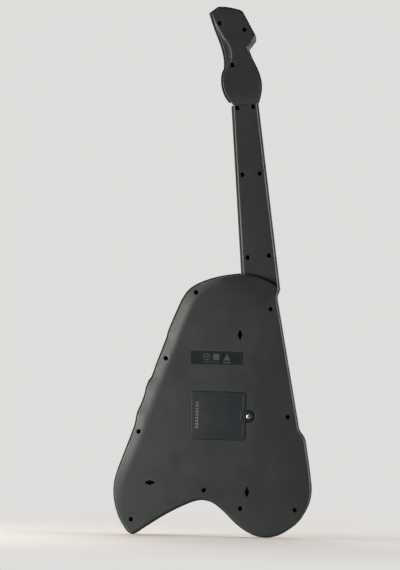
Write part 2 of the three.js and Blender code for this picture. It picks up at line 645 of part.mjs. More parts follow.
function knob() {
  const bottom = PICKGUARD[1] + 0.5;
  const ridges = 16;
  const grip = Array.from({ length: ridges * 2 }, (_, i) => {
    const radius = KNOB.radius - (i % 2 ? 0.7 : 0);
    const angle = (i * Math.PI) / ridges;
    return [radius * Math.cos(angle), radius * Math.sin(angle)];
  });
  return union([
    plate(grip, [bottom, bottom + 7]),
    cylinder(0, 0, KNOB.radius - 0.8, [bottom + 6.8, bottom + 8.4], 16, KNOB.radius - 2),
    cylinder(0, 0, KNOB.shaft, [MAIN_BOARD_TOP + 2, bottom + 1], 10),
  ]).subtract(box([-0.6, 0.6], [bottom + 7.6, CUT], [2, CUT]));
}

function switchSlider() {
  const under = BODY_FRONT - WALL - GAP;
  const nub = roundedRectangle(0, 0, SWITCH.width, SWITCH.height, 1.2);
  return union([
    plate(nub, [under - 1, 18.6]),
    box([-6.5, 6.5], [under - 1.4, under], [-4.6, 4.6]),
    box([-1.5, 1.5], [MAIN_BOARD_TOP + 2.2, under - 1], [-1.5, 1.5]),
  ]);
}

// ---------------------------------------------------------------- battery bay
function batteryCover() {
  const face = [BODY_BACK, BODY_BACK + COVER.thick];
  const hooks = HOOKS.flatMap((z) => {
    const width = [COVER.z + z - 5, COVER.z + z + 5];
    return [
      box([COVER_LEFT + 0.6, COVER_LEFT + 2.2], [BODY_BACK + 1, BODY_BACK + 4.2], width),
      box([COVER_LEFT - 2.6, COVER_LEFT + 2.2], [BODY_BACK + 3, BODY_BACK + 4.2], width),
    ];
  });
  const { x, z, pad, dish, seat } = COVER_SCREW;
  return coverShape(0, face, COVER_SCREW.tab)
    .add(union([...hooks, cylinder(x, z, pad, [face[0], seat + 1.4], 16)]))
    .subtract(union([
      cylinder(x, z, dish, [BODY_BACK - 1, seat], 16),
      cylinder(x, z, 1.8, [BODY_BACK, seat + 2], 10),
    ]));
}

function coverScrewGeometry() {
  const head = 3.3;
  const under = COVER_SCREW.seat - GAP;
  return turned([
    [0, under - 1.5], [head * 0.7, under - 1.5], [head, under - 0.7], [head, under],
    [1.4, under], [1.4, -13.4], [0.5, -11.6], [0, -11.6],
  ], 16);
}

function batteryBox() {
  const { left, right, halfHeight, top, bottom, wall } = BATTERY_BOX;
  const z = [COVER.z - halfHeight, COVER.z + halfHeight];
  const pocket = box([left + wall, right - wall], [top - 1, bottom - wall],
    [z[0] + wall, z[1] - wall]);
  const hookRoom = HOOKS.map((h) => box([left - 1, left + 3.5], [top - 1, top + 4.6],
    [COVER.z + h - 6, COVER.z + h + 6]));
  return box([left, right], [top, bottom], z).subtract(union([pocket, ...hookRoom]));
}

const batteryZ = (i) => COVER.z + (i - 1.5) * BATTERY.pitch;
const batteryWay = (i) => (i % 2 ? -1 : 1);

// An AA cell lying along X. Neighbours point opposite ways.
function batteryGeometry(i) {
  const half = BATTERY.length / 2;
  return turned([
    [0, -half], [BATTERY.radius, -half], [BATTERY.radius, half], [2.7, half],
    [2.7, half + 1.2], [0, half + 1.2],
  ], 12).rotateZ((-Math.PI / 2) * batteryWay(i));
}

// One strip of contacts at an end of the bay: a spring where a cell is flat, a pad at its button.
function contacts(side) {
  const wallAt = side < 0 ? BATTERY_BOX.left : BATTERY_BOX.right;
  const back = wallAt - side * (BATTERY_BOX.wall + GAP);
  const face = back - side * 0.8;
  const cellEnd = BATTERY.x + side * (BATTERY.length / 2);
  const z = [COVER.z - 28, COVER.z + 28];
  const strip = box([Math.min(back, face), Math.max(back, face)], [BATTERY.y - 3.5, -4.2], z);
  const touches = [0, 1, 2, 3].map((i) => {
    const button = batteryWay(i) === side;
    const reach = button ? cellEnd + side * 1.5 : cellEnd + side * GAP;
    const radii = button ? [2, 2] : [4.6, 3];
    return solid(new THREE.CylinderGeometry(radii[0], radii[1], Math.abs(face - reach) + 0.4, 8)
      .rotateZ((-Math.PI / 2) * side)
      .translate((face + reach) / 2 + side * 0.2, BATTERY.y, batteryZ(i)));
  });
  return strip.add(union(touches));
}

// ---------------------------------------------------------------- electronics
const MAIN_BOARD_TOP = 5.1;
const NECK_BOARD_TOP = 3.4;
const BOARD = 1.6;

function mainBoard() {
  const outline = [[34, 96], [34, 214], [-54, 214], [-84, 156], [-84, 96]];
  const range = [MAIN_BOARD_TOP - BOARD, MAIN_BOARD_TOP];
  const on = (height) => [MAIN_BOARD_TOP - 0.2, MAIN_BOARD_TOP + height];
  const domes = Object.values(BUTTONS).map(([x, z]) => cylinder(x, z, 4, on(0.9), 12, 3));
  const middle = SWITCH.x + SWITCH.travel / 2;
  return union([
    plate(outline, range),
    ...domes,
    box([KNOB.x - 8, KNOB.x + 8], on(1.6), [KNOB.z - 8, KNOB.z + 8]),
    box([middle - 9, middle + 9], on(1.7), [SWITCH.z - 3.5, SWITCH.z + 3.5]),
    box([-30, -12], on(2), [128, 146]),
    box([8, 20], on(3), [178, 186]),
    cylinder(12, 120, 4, on(4.5)),
    cylinder(22, 132, 3, on(4.5)),
  ]);
}

function neckBoard() {
  const top = fretAt(1) + 2;
  const tail = 50; // foot of the board, where the ribbon cable meets it
  const range = [NECK_BOARD_TOP - 1.2, NECK_BOARD_TOP];
  const domes = Array.from({ length: FRET_BUTTONS }, (_, i) =>
    cylinder(0, fretButtonAt(i + 1).v, 4, [NECK_BOARD_TOP - 0.2, NECK_BOARD_TOP + 1.2], 8, 3));
  return union([box([-6.5, 6.5], range, [tail, top]), ...domes]);
}

// The flat cable that joins the neck's board to the body's.
function ribbonCable() {
  const curve = new THREE.CatmullRomCurve3([
    [58, NECK_BOARD_TOP - 0.6, 330], [53.6, -1.5, 368], [52.2, NECK_BOARD_TOP - 2.1, 378],
  ].map((p) => new THREE.Vector3(...p)));
  const low = [[8, -2.4, 216], [14, -3.4, 232], [34, -4, 268], [52, -4, 302], [57, -4, 322]];
  const path = new THREE.CatmullRomCurve3([
    ...low.map((p) => new THREE.Vector3(...p)), curve.getPoint(0.4), curve.getPoint(1),
  ]);
  const section = new THREE.Shape([[-0.5, -3], [0.5, -3], [0.5, 3], [-0.5, 3]]
    .map(([a, b]) => new THREE.Vector2(a, b)));
  return solid(new THREE.ExtrudeGeometry(section, {
    extrudePath: path, steps: 12, bevelEnabled: false,
  }));
}

function speakerLead() {
  const path = new THREE.CatmullRomCurve3([
    [50, 0, 84], [40, -1.5, 90], [30, -1, 96], [24, 0.4, 108], [20, 1.6, 116],
  ].map((p) => new THREE.Vector3(...p)));
  const section = new THREE.Shape().absarc(0, 0, 1, 0, Math.PI * 2);
  return solid(new THREE.ExtrudeGeometry(section, {
    extrudePath: path, steps: 10, curveSegments: 3, bevelEnabled: false,
  }));
}

// A round loudspeaker: magnet, basket, flange and the cone's hollow.
function speakerGeometry() {
  const rim = BODY_FRONT - WALL - GAP;
  return turned([
    [0, rim - 18.5], [16, rim - 18.5], [16, rim - 11], [15, rim - 11], [15, rim - 10],
    [26.5, rim - 1.6], [SPEAKER.radius, rim - 1.6], [SPEAKER.radius, rim], [26, rim],
    [24, rim - 1], [9, rim - 6.5], [6, rim - 4.5], [0, rim - 3.5],
  ], 20);
}

function speakerGrille() {
  const range = [BODY_FRONT + GAP, BODY_FRONT + 2.6];
  const rings = [[0, 1], [9.5, 6], [19.5, 12]];
  const holes = rings.flatMap(([radius, count]) => Array.from({ length: count }, (_, i) => {
    const angle = (i * 2 * Math.PI) / count;
    return cylinder(radius * Math.cos(angle), radius * Math.sin(angle), 2.8, [0, CUT], 6);
  }));
  return cylinder(0, 0, SPEAKER.grille, range, 32).subtract(union(holes));
}

// ---------------------------------------------------------------- materials
const plastic = (color, roughness) => new THREE.MeshStandardMaterial({ color, roughness });
const metal = (color, roughness) =>
  new THREE.MeshStandardMaterial({ color, roughness, metalness: 1 });
const blackCasing = plastic(0x2a2c2b, 0.55);
const blackGloss = plastic(0x141416, 0.2);
const redFace = plastic(0xa01018, 0.2);
const pearl = plastic(0xe8e4da, 0.25);
const chrome = metal(0xd8dade, 0.12);
const steel = metal(0xb8b8b4, 0.3);
const darkSteel = metal(0x1c1c1e, 0.45);
const green = plastic(0x1d5a34, 0.5);
const grey = plastic(0x3a3a3c, 0.6);
const copper = plastic(0x8a5a2c, 0.4);
const cable = plastic(0x9a9a98, 0.6);
const BUTTON_COLOURS = [0x2f9e44, 0xd6282b, 0xf2c21b, 0x1f6fd0, 0xf07c1a];

// ---------------------------------------------------------------- assembly
const guitar = new THREE.Group();
const neck = new THREE.Group();
neck.position.set(NECK_FOOT.x, 0, NECK_FOOT.z);
neck.rotation.y = -NECK_LEAN;
guitar.add(neck);

function add(group, name, shape, material, x = 0, z = 0) {
  const geometry = shape.isBufferGeometry ? shape : geometryOf(shape);
  const mesh = new THREE.Mesh(geometry, material);
  mesh.name = name;
  mesh.position.set(x, 0, z);
  group.add(mesh);
  return mesh;
}

function addBody() {
  add(guitar, "back_shell", backShell(), blackCasing);
  add(guitar, "front_shell", frontShell(), blackGloss);
  add(guitar, "faceplate", faceplate(), redFace);
  add(guitar, "pickguard", pickguard(), pearl);
  add(guitar, "speaker_grille", speakerGrille(), blackGloss, SPEAKER.x, SPEAKER.z);
  screws(guitar, "body_screw", BODY_SCREWS, SEAT_DEPTH, 16, darkSteel);
}

function addNeck() {
  add(neck, "neck_back_cover", neckBackCover(), blackCasing);
  add(neck, "fingerboard", fingerboard(), grey);
  screws(neck, "neck_screw", NECK_SCREWS, -6, 13, darkSteel);
  for (let n = 1; n <= FRET_BUTTONS; n++) {
    const colour = plastic(BUTTON_COLOURS[n - 1], 0.35);
    add(neck, `fret_button_${n}`, fretButton(n), colour, 0, fretButtonAt(n).v);
  }
}

function addHeadstock() {
  add(guitar, "headstock_back", headstockBack(), blackCasing);
  add(guitar, "headstock_front", headstockFront(), blackGloss);
  add(guitar, "tuner_plate", tunerPlate(), chrome);
  screws(guitar, "headstock_screw", HEAD_SCREWS, -7, 12, darkSteel);
}

function addStrings() {
  add(neck, "bridge", bridge(), chrome);
  add(neck, "whammy_bar", whammyBar(), chrome);
  for (let i = 0; i < STRINGS; i++) {
    add(neck, `string_${i + 1}`, rod(...stringEnds(i), STRING_RADIUS, 8), steel);
  }
}

function addControls() {
  const button = roundButton();
  Object.entries(BUTTONS).forEach(([name, [x, z]], i) => {
    add(guitar, name, button, plastic(BUTTON_COLOURS[i + 1], 0.35), x, z);
  });
  add(guitar, "volume_knob", knob(), chrome, KNOB.x, KNOB.z);
  add(guitar, "power_switch", switchSlider(), blackGloss, SWITCH.x, SWITCH.z);
}

function addBatteryBay() {
  add(guitar, "battery_cover", batteryCover(), blackCasing);
  add(guitar, "battery_cover_screw", coverScrewGeometry(), steel, COVER_SCREW.x, COVER_SCREW.z);
  add(guitar, "battery_box", batteryBox(), blackCasing);
  for (let i = 0; i < 4; i++) {
    const cell = add(guitar, `battery_${i + 1}`, batteryGeometry(i), copper, BATTERY.x, batteryZ(i));
    cell.position.y = BATTERY.y;
  }
  add(guitar, "contacts_left", contacts(-1), steel);
  add(guitar, "contacts_right", contacts(1), steel);
}

function addElectronics() {
  add(guitar, "main_board", mainBoard(), green);
  add(neck, "neck_board", neckBoard(), green);
  add(guitar, "neck_ribbon_cable", ribbonCable(), cable);
  add(guitar, "speaker_lead", speakerLead(), cable);
  add(guitar, "speaker_driver", speakerGeometry(), grey, SPEAKER.x, SPEAKER.z);
}

addBody();
addNeck();
addHeadstock();
addStrings();
addControls();
addBatteryBay();
addElectronics();

// The origin is the bottom centre of the whole guitar.
const bounds = new THREE.Box3().setFromObject(guitar, true);
const centre = bounds.getCenter(new THREE.Vector3());
guitar.position.set(-centre.x, -centre.y, -bounds.min.z);

export default guitar;
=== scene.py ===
"""Looks of the toy guitar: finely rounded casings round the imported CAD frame, materials, light and camera."""
import json
import math

import bmesh
import bpy
import numpy as np
from mathutils import Matrix, Vector
from mathutils.geometry import delaunay_2d_cdt


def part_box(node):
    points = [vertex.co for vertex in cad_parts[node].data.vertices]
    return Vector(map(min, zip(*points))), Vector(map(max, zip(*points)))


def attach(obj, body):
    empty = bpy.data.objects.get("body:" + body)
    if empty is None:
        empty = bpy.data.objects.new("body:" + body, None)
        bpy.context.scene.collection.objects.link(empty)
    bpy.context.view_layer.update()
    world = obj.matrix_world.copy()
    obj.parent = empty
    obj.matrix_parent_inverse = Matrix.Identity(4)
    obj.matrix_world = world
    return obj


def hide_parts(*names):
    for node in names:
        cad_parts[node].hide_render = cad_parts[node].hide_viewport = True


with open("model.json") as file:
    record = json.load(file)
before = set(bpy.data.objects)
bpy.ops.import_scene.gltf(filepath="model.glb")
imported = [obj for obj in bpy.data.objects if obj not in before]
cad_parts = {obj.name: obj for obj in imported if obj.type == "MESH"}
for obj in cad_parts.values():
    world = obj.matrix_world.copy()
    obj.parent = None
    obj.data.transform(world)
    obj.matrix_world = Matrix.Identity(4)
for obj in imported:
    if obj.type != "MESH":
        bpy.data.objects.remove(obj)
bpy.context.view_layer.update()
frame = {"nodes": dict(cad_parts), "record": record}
nodes = frame["nodes"]
MM = 0.001


def middle(node):
    """Where a CAD node's axis stands, as (x, z) in millimetres."""
    low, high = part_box(node)
    return tuple(round((low[k] + high[k]) / 2 / MM, 2) for k in (0, 2))


# Depths in millimetres in the row frame. CAD depths count from the plane where the casings part.
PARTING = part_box("back_shell")[0].y / MM + 21
BODY_BACK = PARTING - 21
NECK_BACK = PARTING - 13
HEAD_BACK = PARTING - 16
RIM = PARTING - 0.15  # where the back casings' walls end, just short of the front casings

STEP_IN = 1.9  # the back casings are this much smaller all round than the front ones
NECK_STEP = 2.3  # the same on the neck
HEAD_STEP = 2.4  # the same on the headstock
WALL = 1.6
NECK_FOOT = (56.3, 335.0)
NECK_LEAN = math.radians(6.5)
NECK_LENGTH = 237.0
NECK_HALF_WIDTHS = (25.0, 17.9)  # at the foot and at the nut

# Outlines in X-Z, anticlockwise seen from behind, as (x, z, bevel width). They are those of the CAD part,
# with bevel widths that keep the inner line of the left side's bevel straight beside the wavy flank.
SHOULDER = [
    (82.5, 327, 2), (77, 333, 2), (70, 338, 2), (60, 343.5, 2.5), (49, 347.2, 2.5), (38, 348.5, 2.5),
    (28, 347.8, 3), (15, 346, 4), (0, 343, 6.5), (-17.5, 337.3, 10.5), (-30, 331.3, 13.5),
    (-37, 326, 15), (-42, 320.5, 16), (-48, 310, 16),
]
FLANK = [
    (-48, 310, 16), (-56.5, 290, 17.4), (-64.8, 268, 18), (-66, 262, 17.2), (-79, 226, 17.6),
    (-84.5, 209, 17.2), (-88.3, 203.5, 19), (-92, 193, 19), (-93, 187, 18), (-97.5, 173, 17.7),
    (-102.5, 161, 18.4), (-105, 146, 16.2), (-106.8, 140, 15.8), (-122, 97.5, 16),
]
LOBES = [
    (-122, 97.5, 16), (-128.7, 77, 15.5), (-131, 60, 14.5), (-129.6, 44, 12), (-124, 24, 8),
    (-115, 8.5, 4), (-109.5, 2.2, 2.5), (-104, 0, 2.5), (-98.5, 2.4, 2.5), (-92, 7, 2.5),
    (-75, 18.5, 2.5), (-57.5, 29.5, 2.5), (-34, 41.5, 2.5), (-22.5, 46, 2.5), (-13.5, 47.5, 2.5),
    (-5, 46.2, 2.5), (3, 42.8, 2.5), (16, 32.5, 2.5), (26, 22.5, 2.5), (38, 12.3, 2.5),
    (55, 2.8, 2.5), (71, 0, 2.5), (87, 2.8, 2.5), (105, 13.5, 2.5), (117, 25, 2.5),
    (128, 46, 2.5), (131, 64, 2.5), (129.5, 78, 2.5), (126.8, 97, 2.5), (123, 119, 2.5),
    (121, 130, 2.5), (118.5, 135.5, 2.5), (114.2, 141, 2.5), (112, 146, 2.5),
]
WAIST = [(112, 146, 2), (79.5, 314, 2)]
CORNER = [(79.5, 314, 2), (79.4, 319.5, 2), (82.5, 327, 2)]
HEAD = [
    [(46.7, 569.4, 1.5), (50, 581, 1.5), (51.5, 593, 1.5), (50, 605, 1.5), (45.3, 618, 1.5),
     (37.8, 632, 1.5), (33.4, 642.3, 1.5)],
    [(33.4, 642.3, 5), (41.9, 654.3, 5)],
    [(41.9, 654.3, 5), (42, 659, 4), (40.7, 663.2, 1.5)],
    [(40.7, 663.2, 1.5), (23.6, 693.2, 1.5)],
    [(23.6, 693.2, 1.5), (19.6, 695.6, 1.5), (8.9, 698, 1.5), (-1, 699.3, 1.5), (-9.3, 699, 1.5)],
    [(-9.3, 699, 1.5), (-21, 690, 1.5)],
    [(-21, 690, 1.5), (-13.5, 669, 1.5), (-5, 648.5, 1.5), (-0.5, 632, 1.5), (0.4, 622, 1.5),
     (0.2, 617, 1.5)],
    [(0.2, 617, 1.5), (-2, 612, 1.5), (-3.1, 602.5, 1.5), (-1.4, 590.5, 1.5), (3, 580, 1.5),
     (13.7, 565.8, 1.5)],
    [(13.7, 565.8, 1.5), (46.7, 569.4, 1.5)],
]
# The edge of the hollow in the headstock's back, from its top end down and round to the outline.
SCOOP_EDGE = [
    (-18.2, 691.5), (-12, 678.6), (-5.6, 667.4), (-0.2, 658.2), (5.7, 650.4), (9.1, 643.3),
    (10.6, 635.9), (10.7, 628.4), (7.6, 622.4), (0.8, 617.2), (-2, 615.2),
]
SCOOP_DEPTH = 3.6

BODY_SCREWS = [middle(f"body_screw_{i}") for i in range(1, 10)]
HEAD_SCREWS = [middle(f"headstock_screw_{i}") for i in range(1, 4)]
HOLE_RADIUS = 3.0  # of the holes over the screws
SCREW_RADIUS = 2.5
HEAD_HEIGHT = 1.8  # of a screw's head, of which the dome takes DOME
DOME = 0.9
CROSS_DEPTH = 1.25
THREAD_PITCH = 1.2
BODY_SCREW_Y = PARTING - 8.3  # the underside of a screw's head
NECK_SCREW_Y = PARTING - 6.3
HEAD_SCREW_Y = PARTING - 7.3
ABOVE_SEAT = 0.3  # the hole's visible floor lies this much behind the head's underside

SOCKETS = [(round(mount["pos_m"][0] / MM, 2), round(mount["pos_m"][2] / MM, 2),
            mount["name"] != "strap_socket_left")
           for mount in frame["record"]["mounts"] if mount["kind"] == "other"]  # (x, z, slot upright)
SOCKET_DEPTH = 9.5
LABEL = (-33, 36, 227.5, 244.7)  # left, right, bottom and top of the shallow panel for the label

cover_low, cover_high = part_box("battery_cover")
COVER_SCREW = middle("battery_cover_screw")
COVER_MIDDLE = (5.2, middle("battery_cover")[1])
COVER_WIDTH = 72
COVER_HEIGHT = round((cover_high.z - cover_low.z) / MM, 2)
COVER_CORNER = 4.2
COVER_TAB = round(cover_high.x / MM - COVER_SCREW[0], 2)
TAB_ROOM = 8.0  # radius of the cut-out round the tab


# ---------------------------------------------------------------- materials
def tree_of(name):
    """A new material, its nodes, its links and its shader."""
    material = bpy.data.materials.new(name)
    material.use_nodes = True
    n, links = material.node_tree.nodes, material.node_tree.links
    return material, n, links, n["Principled BSDF"]


def noise(n, links, coords, scale, detail=3.0, roughness=0.55):
    node = n.new("ShaderNodeTexNoise")
    node.inputs["Scale"].default_value = scale
    node.inputs["Detail"].default_value = detail
    node.inputs["Roughness"].default_value = roughness
    links.new(coords.outputs["Object"], node.inputs["Vector"])
    return node


def ramp(n, links, source, low, high, start=0.35, end=0.65):
    """Maps a value between start and end onto one between low and high."""
    node = n.new("ShaderNodeMapRange")
    for name, value in (("From Min", start), ("From Max", end), ("To Min", low), ("To Max", high)):
        node.inputs[name].default_value = value
    links.new(source, node.inputs["Value"])
    return node.outputs["Result"]


def tones(n, links, source, low, high, start=0.35, end=0.65):
    """Maps a value between start and end onto colours between low and high."""
    node = n.new("ShaderNodeValToRGB")
    for element, place, colour in zip(node.color_ramp.elements, (start, end), (low, high)):
        element.position = place
        element.color = (*colour, 1)
    links.new(source, node.inputs["Fac"])
    return node.outputs["Color"]


def mixed(n, links, factor, first, second, blend="MIX"):
    """A colour between two. The factor and the second colour may be constants."""
    mix = n.new("ShaderNodeMix")
    mix.data_type, mix.blend_type = "RGBA", blend
    colours = [socket for socket in mix.inputs if socket.type == "RGBA"]
    for socket, value in ((mix.inputs["Factor"], factor), (colours[0], first), (colours[1], second)):
        if isinstance(value, bpy.types.NodeSocket):
            links.new(value, socket)
        else:
            socket.default_value = value
    return next(socket for socket in mix.outputs if socket.type == "RGBA")


def product(n, links, first, second):
    node = n.new("ShaderNodeMath")
    node.operation = "MULTIPLY"
    links.new(first, node.inputs[0])
    links.new(second, node.inputs[1])
    return node.outputs[0]


def roughened(n, links, shader, height, strength, distance):
    """Bumps the shader's surface by a height."""
    bump = n.new("ShaderNodeBump")
    bump.inputs["Strength"].default_value = strength
    bump.inputs["Distance"].default_value = distance
    links.new(height, bump.inputs["Height"])
    links.new(bump.outputs["Normal"], shader.inputs["Normal"])


def plastic(name, colour, roughness, grain=0.06, grain_scale=2600.0, mottle=0.12, worn=0.25, coat=0.0,
            gloss=0.5, painted_shade=None):
    """Moulded plastic: mottled colour, uneven polish, a fine spark-eroded grain and paler edges.
    The last argument, if given, is (tint at its start, (from, to) across X): painted shade that darkens and
    tints the colour across a wide piece, standing in for how light falls on it."""
    material, n, links, shader = tree_of(name)
    coords = n.new("ShaderNodeTexCoord")
    clouds = noise(n, links, coords, 22.0, 5.0).outputs["Fac"]
    darker, paler = (tuple(c * k for c in colour) for k in (1 - mottle, 1 + mottle))
    body = tones(n, links, clouds, darker, paler)
    # Painted shade: the colour is multiplied from white towards the tint across X, darker and bluer at the far
    # side.
    if painted_shade:
        shade_tint, stretch = painted_shade
        parts = n.new("ShaderNodeSeparateXYZ")
        links.new(coords.outputs["Object"], parts.inputs[0])
        across = ramp(n, links, parts.outputs["X"], 0.0, 1.0, *stretch)
        painted_shade_colour = tones(n, links, across, (1.0, 1.0, 1.0), shade_tint, 0.0, 1.0)
        body = mixed(n, links, 1.0, body, painted_shade_colour, "MULTIPLY")
    geometry = n.new("ShaderNodeNewGeometry")
    edge = ramp(n, links, geometry.outputs["Pointiness"], 0.0, 1.0, 0.53, 0.62)
    scuffs = noise(n, links, coords, 420.0, 4.0, 0.7).outputs["Fac"]
    wear = product(n, links, edge, ramp(n, links, scuffs, 0.0, 1.0, 0.45, 0.75))
    bare = (*[c * (1 + worn) + 0.02 * worn for c in colour], 1)
    links.new(mixed(n, links, wear, body, bare), shader.inputs["Base Color"])
    polish = noise(n, links, coords, 65.0, 6.0, 0.65).outputs["Fac"]
    spread = 0.18 * roughness
    links.new(ramp(n, links, polish, roughness - spread, roughness + spread, 0.3, 0.7),
              shader.inputs["Roughness"])
    roughened(n, links, shader, noise(n, links, coords, grain_scale, 2.0, 0.6).outputs["Fac"], grain, 0.0002)
    shader.inputs["Specular IOR Level"].default_value = gloss
    shader.inputs["Coat Weight"].default_value = coat
    shader.inputs["Coat Roughness"].default_value = 0.08
    return material


def metal(name, colour, roughness, brushed=0.0, solid=1.0):
    """Plated metal with faint turning marks and fingerprints in its polish."""
    material, n, links, shader = tree_of(name)
    coords = n.new("ShaderNodeTexCoord")
    shader.inputs["Metallic"].default_value = solid
    tarnish = noise(n, links, coords, 140.0, 4.0).outputs["Fac"]
    links.new(tones(n, links, tarnish, tuple(c * 0.86 for c in colour), colour), shader.inputs["Base Color"])
    smear = noise(n, links, coords, 300.0, 5.0, 0.7).outputs["Fac"]
    links.new(ramp(n, links, smear, roughness * 0.7, roughness * 1.35), shader.inputs["Roughness"])
    lines = n.new("ShaderNodeTexWave")
    lines.wave_type = "RINGS"
    lines.inputs["Scale"].default_value = 900.0
    lines.inputs["Distortion"].default_value = 1.5
    links.new(coords.outputs["Object"], lines.inputs["Vector"])
    roughened(n, links, shader, lines.outputs["Fac"], 0.04 + brushed, 0.0001)
    return material


back_plastic = plastic("back_plastic", (0.0295, 0.0322, 0.0309), 0.55, grain=0.10, gloss=0.22)
# The battery cover is painted darker and bluer towards its right: painted shade and reflection over its own
# colour.
cover_plastic = plastic("cover_plastic", (0.0258, 0.0290, 0.0283), 0.45, grain=0.06, gloss=0.3,
                        painted_shade=((0.68, 0.74, 0.84), (-0.03, 0.02)))
black_gloss = plastic("black_gloss", (0.0022, 0.0022, 0.0025), 0.42, grain=0.02, gloss=0.03)
red_gloss = plastic("red_gloss", (0.36, 0.008, 0.012), 0.2, grain=0.015, coat=0.6, mottle=0.05)
pearl = plastic("pearl", (0.72, 0.70, 0.64), 0.24, grain=0.015, coat=0.5, mottle=0.05, worn=0.05)
fingerboard_plastic = plastic("fingerboard_plastic", (0.006, 0.006, 0.006), 0.42, grain=0.12, gloss=0.05)
label_film = plastic("label_film", (0.006, 0.008, 0.0088), 0.42, grain=0.03)
label_print = plastic("label_print", (0.042, 0.047, 0.047), 0.5, grain=0.02)
gilt_print = plastic("gilt_print", (0.20, 0.17, 0.125), 0.45, grain=0.02)
bay_plastic = plastic("bay_plastic", (0.018, 0.019, 0.020), 0.5, grain=0.08)
# Near black for the deep walls and floors of holes and of the screws' cross recesses: painted shade, far darker
# than the plastic they are cut in.
painted_recess_shade = plastic("painted_recess_shade", (0.004, 0.004, 0.004), 0.6, grain=0.08)
chrome = metal("chrome", (0.86, 0.87, 0.88), 0.09)
steel = metal("steel", (0.72, 0.72, 0.70), 0.24, brushed=0.06)
black_steel = metal("black_steel", (0.10, 0.10, 0.105), 0.36, brushed=0.04)
nickel = metal("nickel", (0.66, 0.65, 0.62), 0.34, solid=0.55)
board_green = plastic("board_green", (0.014, 0.085, 0.035), 0.35, grain=0.1, coat=0.3)
speaker_grey = plastic("speaker_grey", (0.05, 0.05, 0.053), 0.6, grain=0.3, grain_scale=1200)
cable_grey = plastic("cable_grey", (0.30, 0.30, 0.29), 0.5, grain=0.05)
cell_copper = plastic("cell_copper", (0.24, 0.11, 0.04), 0.28, grain=0.02, coat=0.5)
BUTTON_COLOURS = {
    "green": (0.03, 0.32, 0.06), "red": (0.62, 0.02, 0.02), "yellow": (0.85, 0.55, 0.02),
    "blue": (0.015, 0.12, 0.60), "orange": (0.80, 0.22, 0.02),
}
buttons = {name: plastic("button_" + name, colour, 0.25, grain=0.02, coat=0.5, mottle=0.04)
           for name, colour in BUTTON_COLOURS.items()}


# ---------------------------------------------------------------- outlines
def smooth_run(controls, spacing):
    """Points along a centripetal Catmull-Rom curve through the controls, without the last one."""
    p = np.array(controls, float)
    if len(p) == 2:
        count = max(2, round(np.linalg.norm(p[1] - p[0]) / spacing))
        return p[0] + (p[1] - p[0]) * (np.arange(count) / count)[:, None]
    padded = np.vstack([2 * p[0] - p[1], p, 2 * p[-1] - p[-2]])
    pieces = []
    for a, b, c, d in zip(padded, padded[1:], padded[2:], padded[3:]):
        ta, tb, tc, td = np.cumsum([0] + [np.linalg.norm(v) ** 0.5 for v in (b - a, c - b, d - c)])
        count = max(2, round(np.linalg.norm(c - b) / spacing))
        t = (tb + (tc - tb) * np.arange(count) / count)[:, None]
        ab = (tb - t) / (tb - ta) * a + (t - ta) / (tb - ta) * b
        bc = (tc - t) / (tc - tb) * b + (t - tb) / (tc - tb) * c
        cd = (td - t) / (td - tc) * c + (t - tc) / (td - tc) * d
        abc = (tc - t) / (tc - ta) * ab + (t - ta) / (tc - ta) * bc
        bcd = (td - t) / (td - tb) * bc + (t - tb) / (td - tb) * cd
        pieces.append((tc - t) / (tc - tb) * abc + (t - tb) / (tc - tb) * bcd)
    return np.vstack(pieces)


def normals_of(loop):
    """Inward unit normals of a closed anticlockwise loop."""
    along = np.roll(loop, -1, 0)[:, :2] - np.roll(loop, 1, 0)[:, :2]
    along /= np.linalg.norm(along, axis=1)[:, None]
    return np.stack([-along[:, 1], along[:, 0]], 1)


def outline(curves, inset=0.0, spacing=1.5, rounding=3):
    """A closed loop of (x, z, bevel), its corners rounded a little and taken in by inset."""
    loop = np.vstack([smooth_run(curve, spacing) for curve in curves])
    for _ in range(rounding):
        loop = (np.roll(loop, 1, 0) + 2 * loop + np.roll(loop, -1, 0)) / 4
    loop[:, :2] += normals_of(loop) * inset
    return loop


def circle(x, z, radius, count=28):
    a = np.arange(count) * 2 * math.pi / count
    return np.stack([x + radius * np.cos(a), z + radius * np.sin(a)], 1)


def rounded_box(x, z, width, height, corner, steps=6):
    points = []
    for quarter, (sx, sz) in enumerate(((1, 1), (-1, 1), (-1, -1), (1, -1))):
        for k in range(steps + 1):
            a = (quarter + k / steps) * math.pi / 2
            points.append((x + sx * (width / 2 - corner) + corner * math.cos(a),
                           z + sz * (height / 2 - corner) + corner * math.sin(a)))
    return np.array(points)


def subdivided(loop, spacing=1.5):
    """The same closed loop with points added along its long sides."""
    pieces = []
    for a, b in zip(loop, np.roll(loop, -1, 0)):
        count = max(1, round(np.linalg.norm(b - a) / spacing))
        pieces.append(a + (b - a) * (np.arange(count) / count)[:, None])
    return np.vstack(pieces)


def inside(points, loop):
    """Which points lie inside a closed loop."""
    x, z = points[:, 0][:, None], points[:, 1][:, None]
    ax, az = loop[:, 0], loop[:, 1]
    bx, bz = np.roll(ax, -1), np.roll(az, -1)
    crosses = (az > z) != (bz > z)
    rise = np.where(bz == az, 1e-9, bz - az)
    return (np.sum(crosses & (x < ax + (z - az) / rise * (bx - ax)), 1) % 2) == 1


def bow_tie(x, z, upright, radius=3.3, reach=6.0, half=1.7):
    """Outline of a round hole with a slot across it."""
    meet = math.asin(half / radius)
    points = []
    for side, sign in ((0, 1), (math.pi, -1)):
        points += [(reach * sign, -half * sign), (reach * sign, half * sign)]
        for k in range(9):
            a = side + meet + (math.pi - 2 * meet) * k / 8
            points.append((radius * math.cos(a), radius * math.sin(a)))
    turned = [(-pz, px) if upright else (px, pz) for px, pz in points]
    return np.array([(x + px, z + pz) for px, pz in turned])


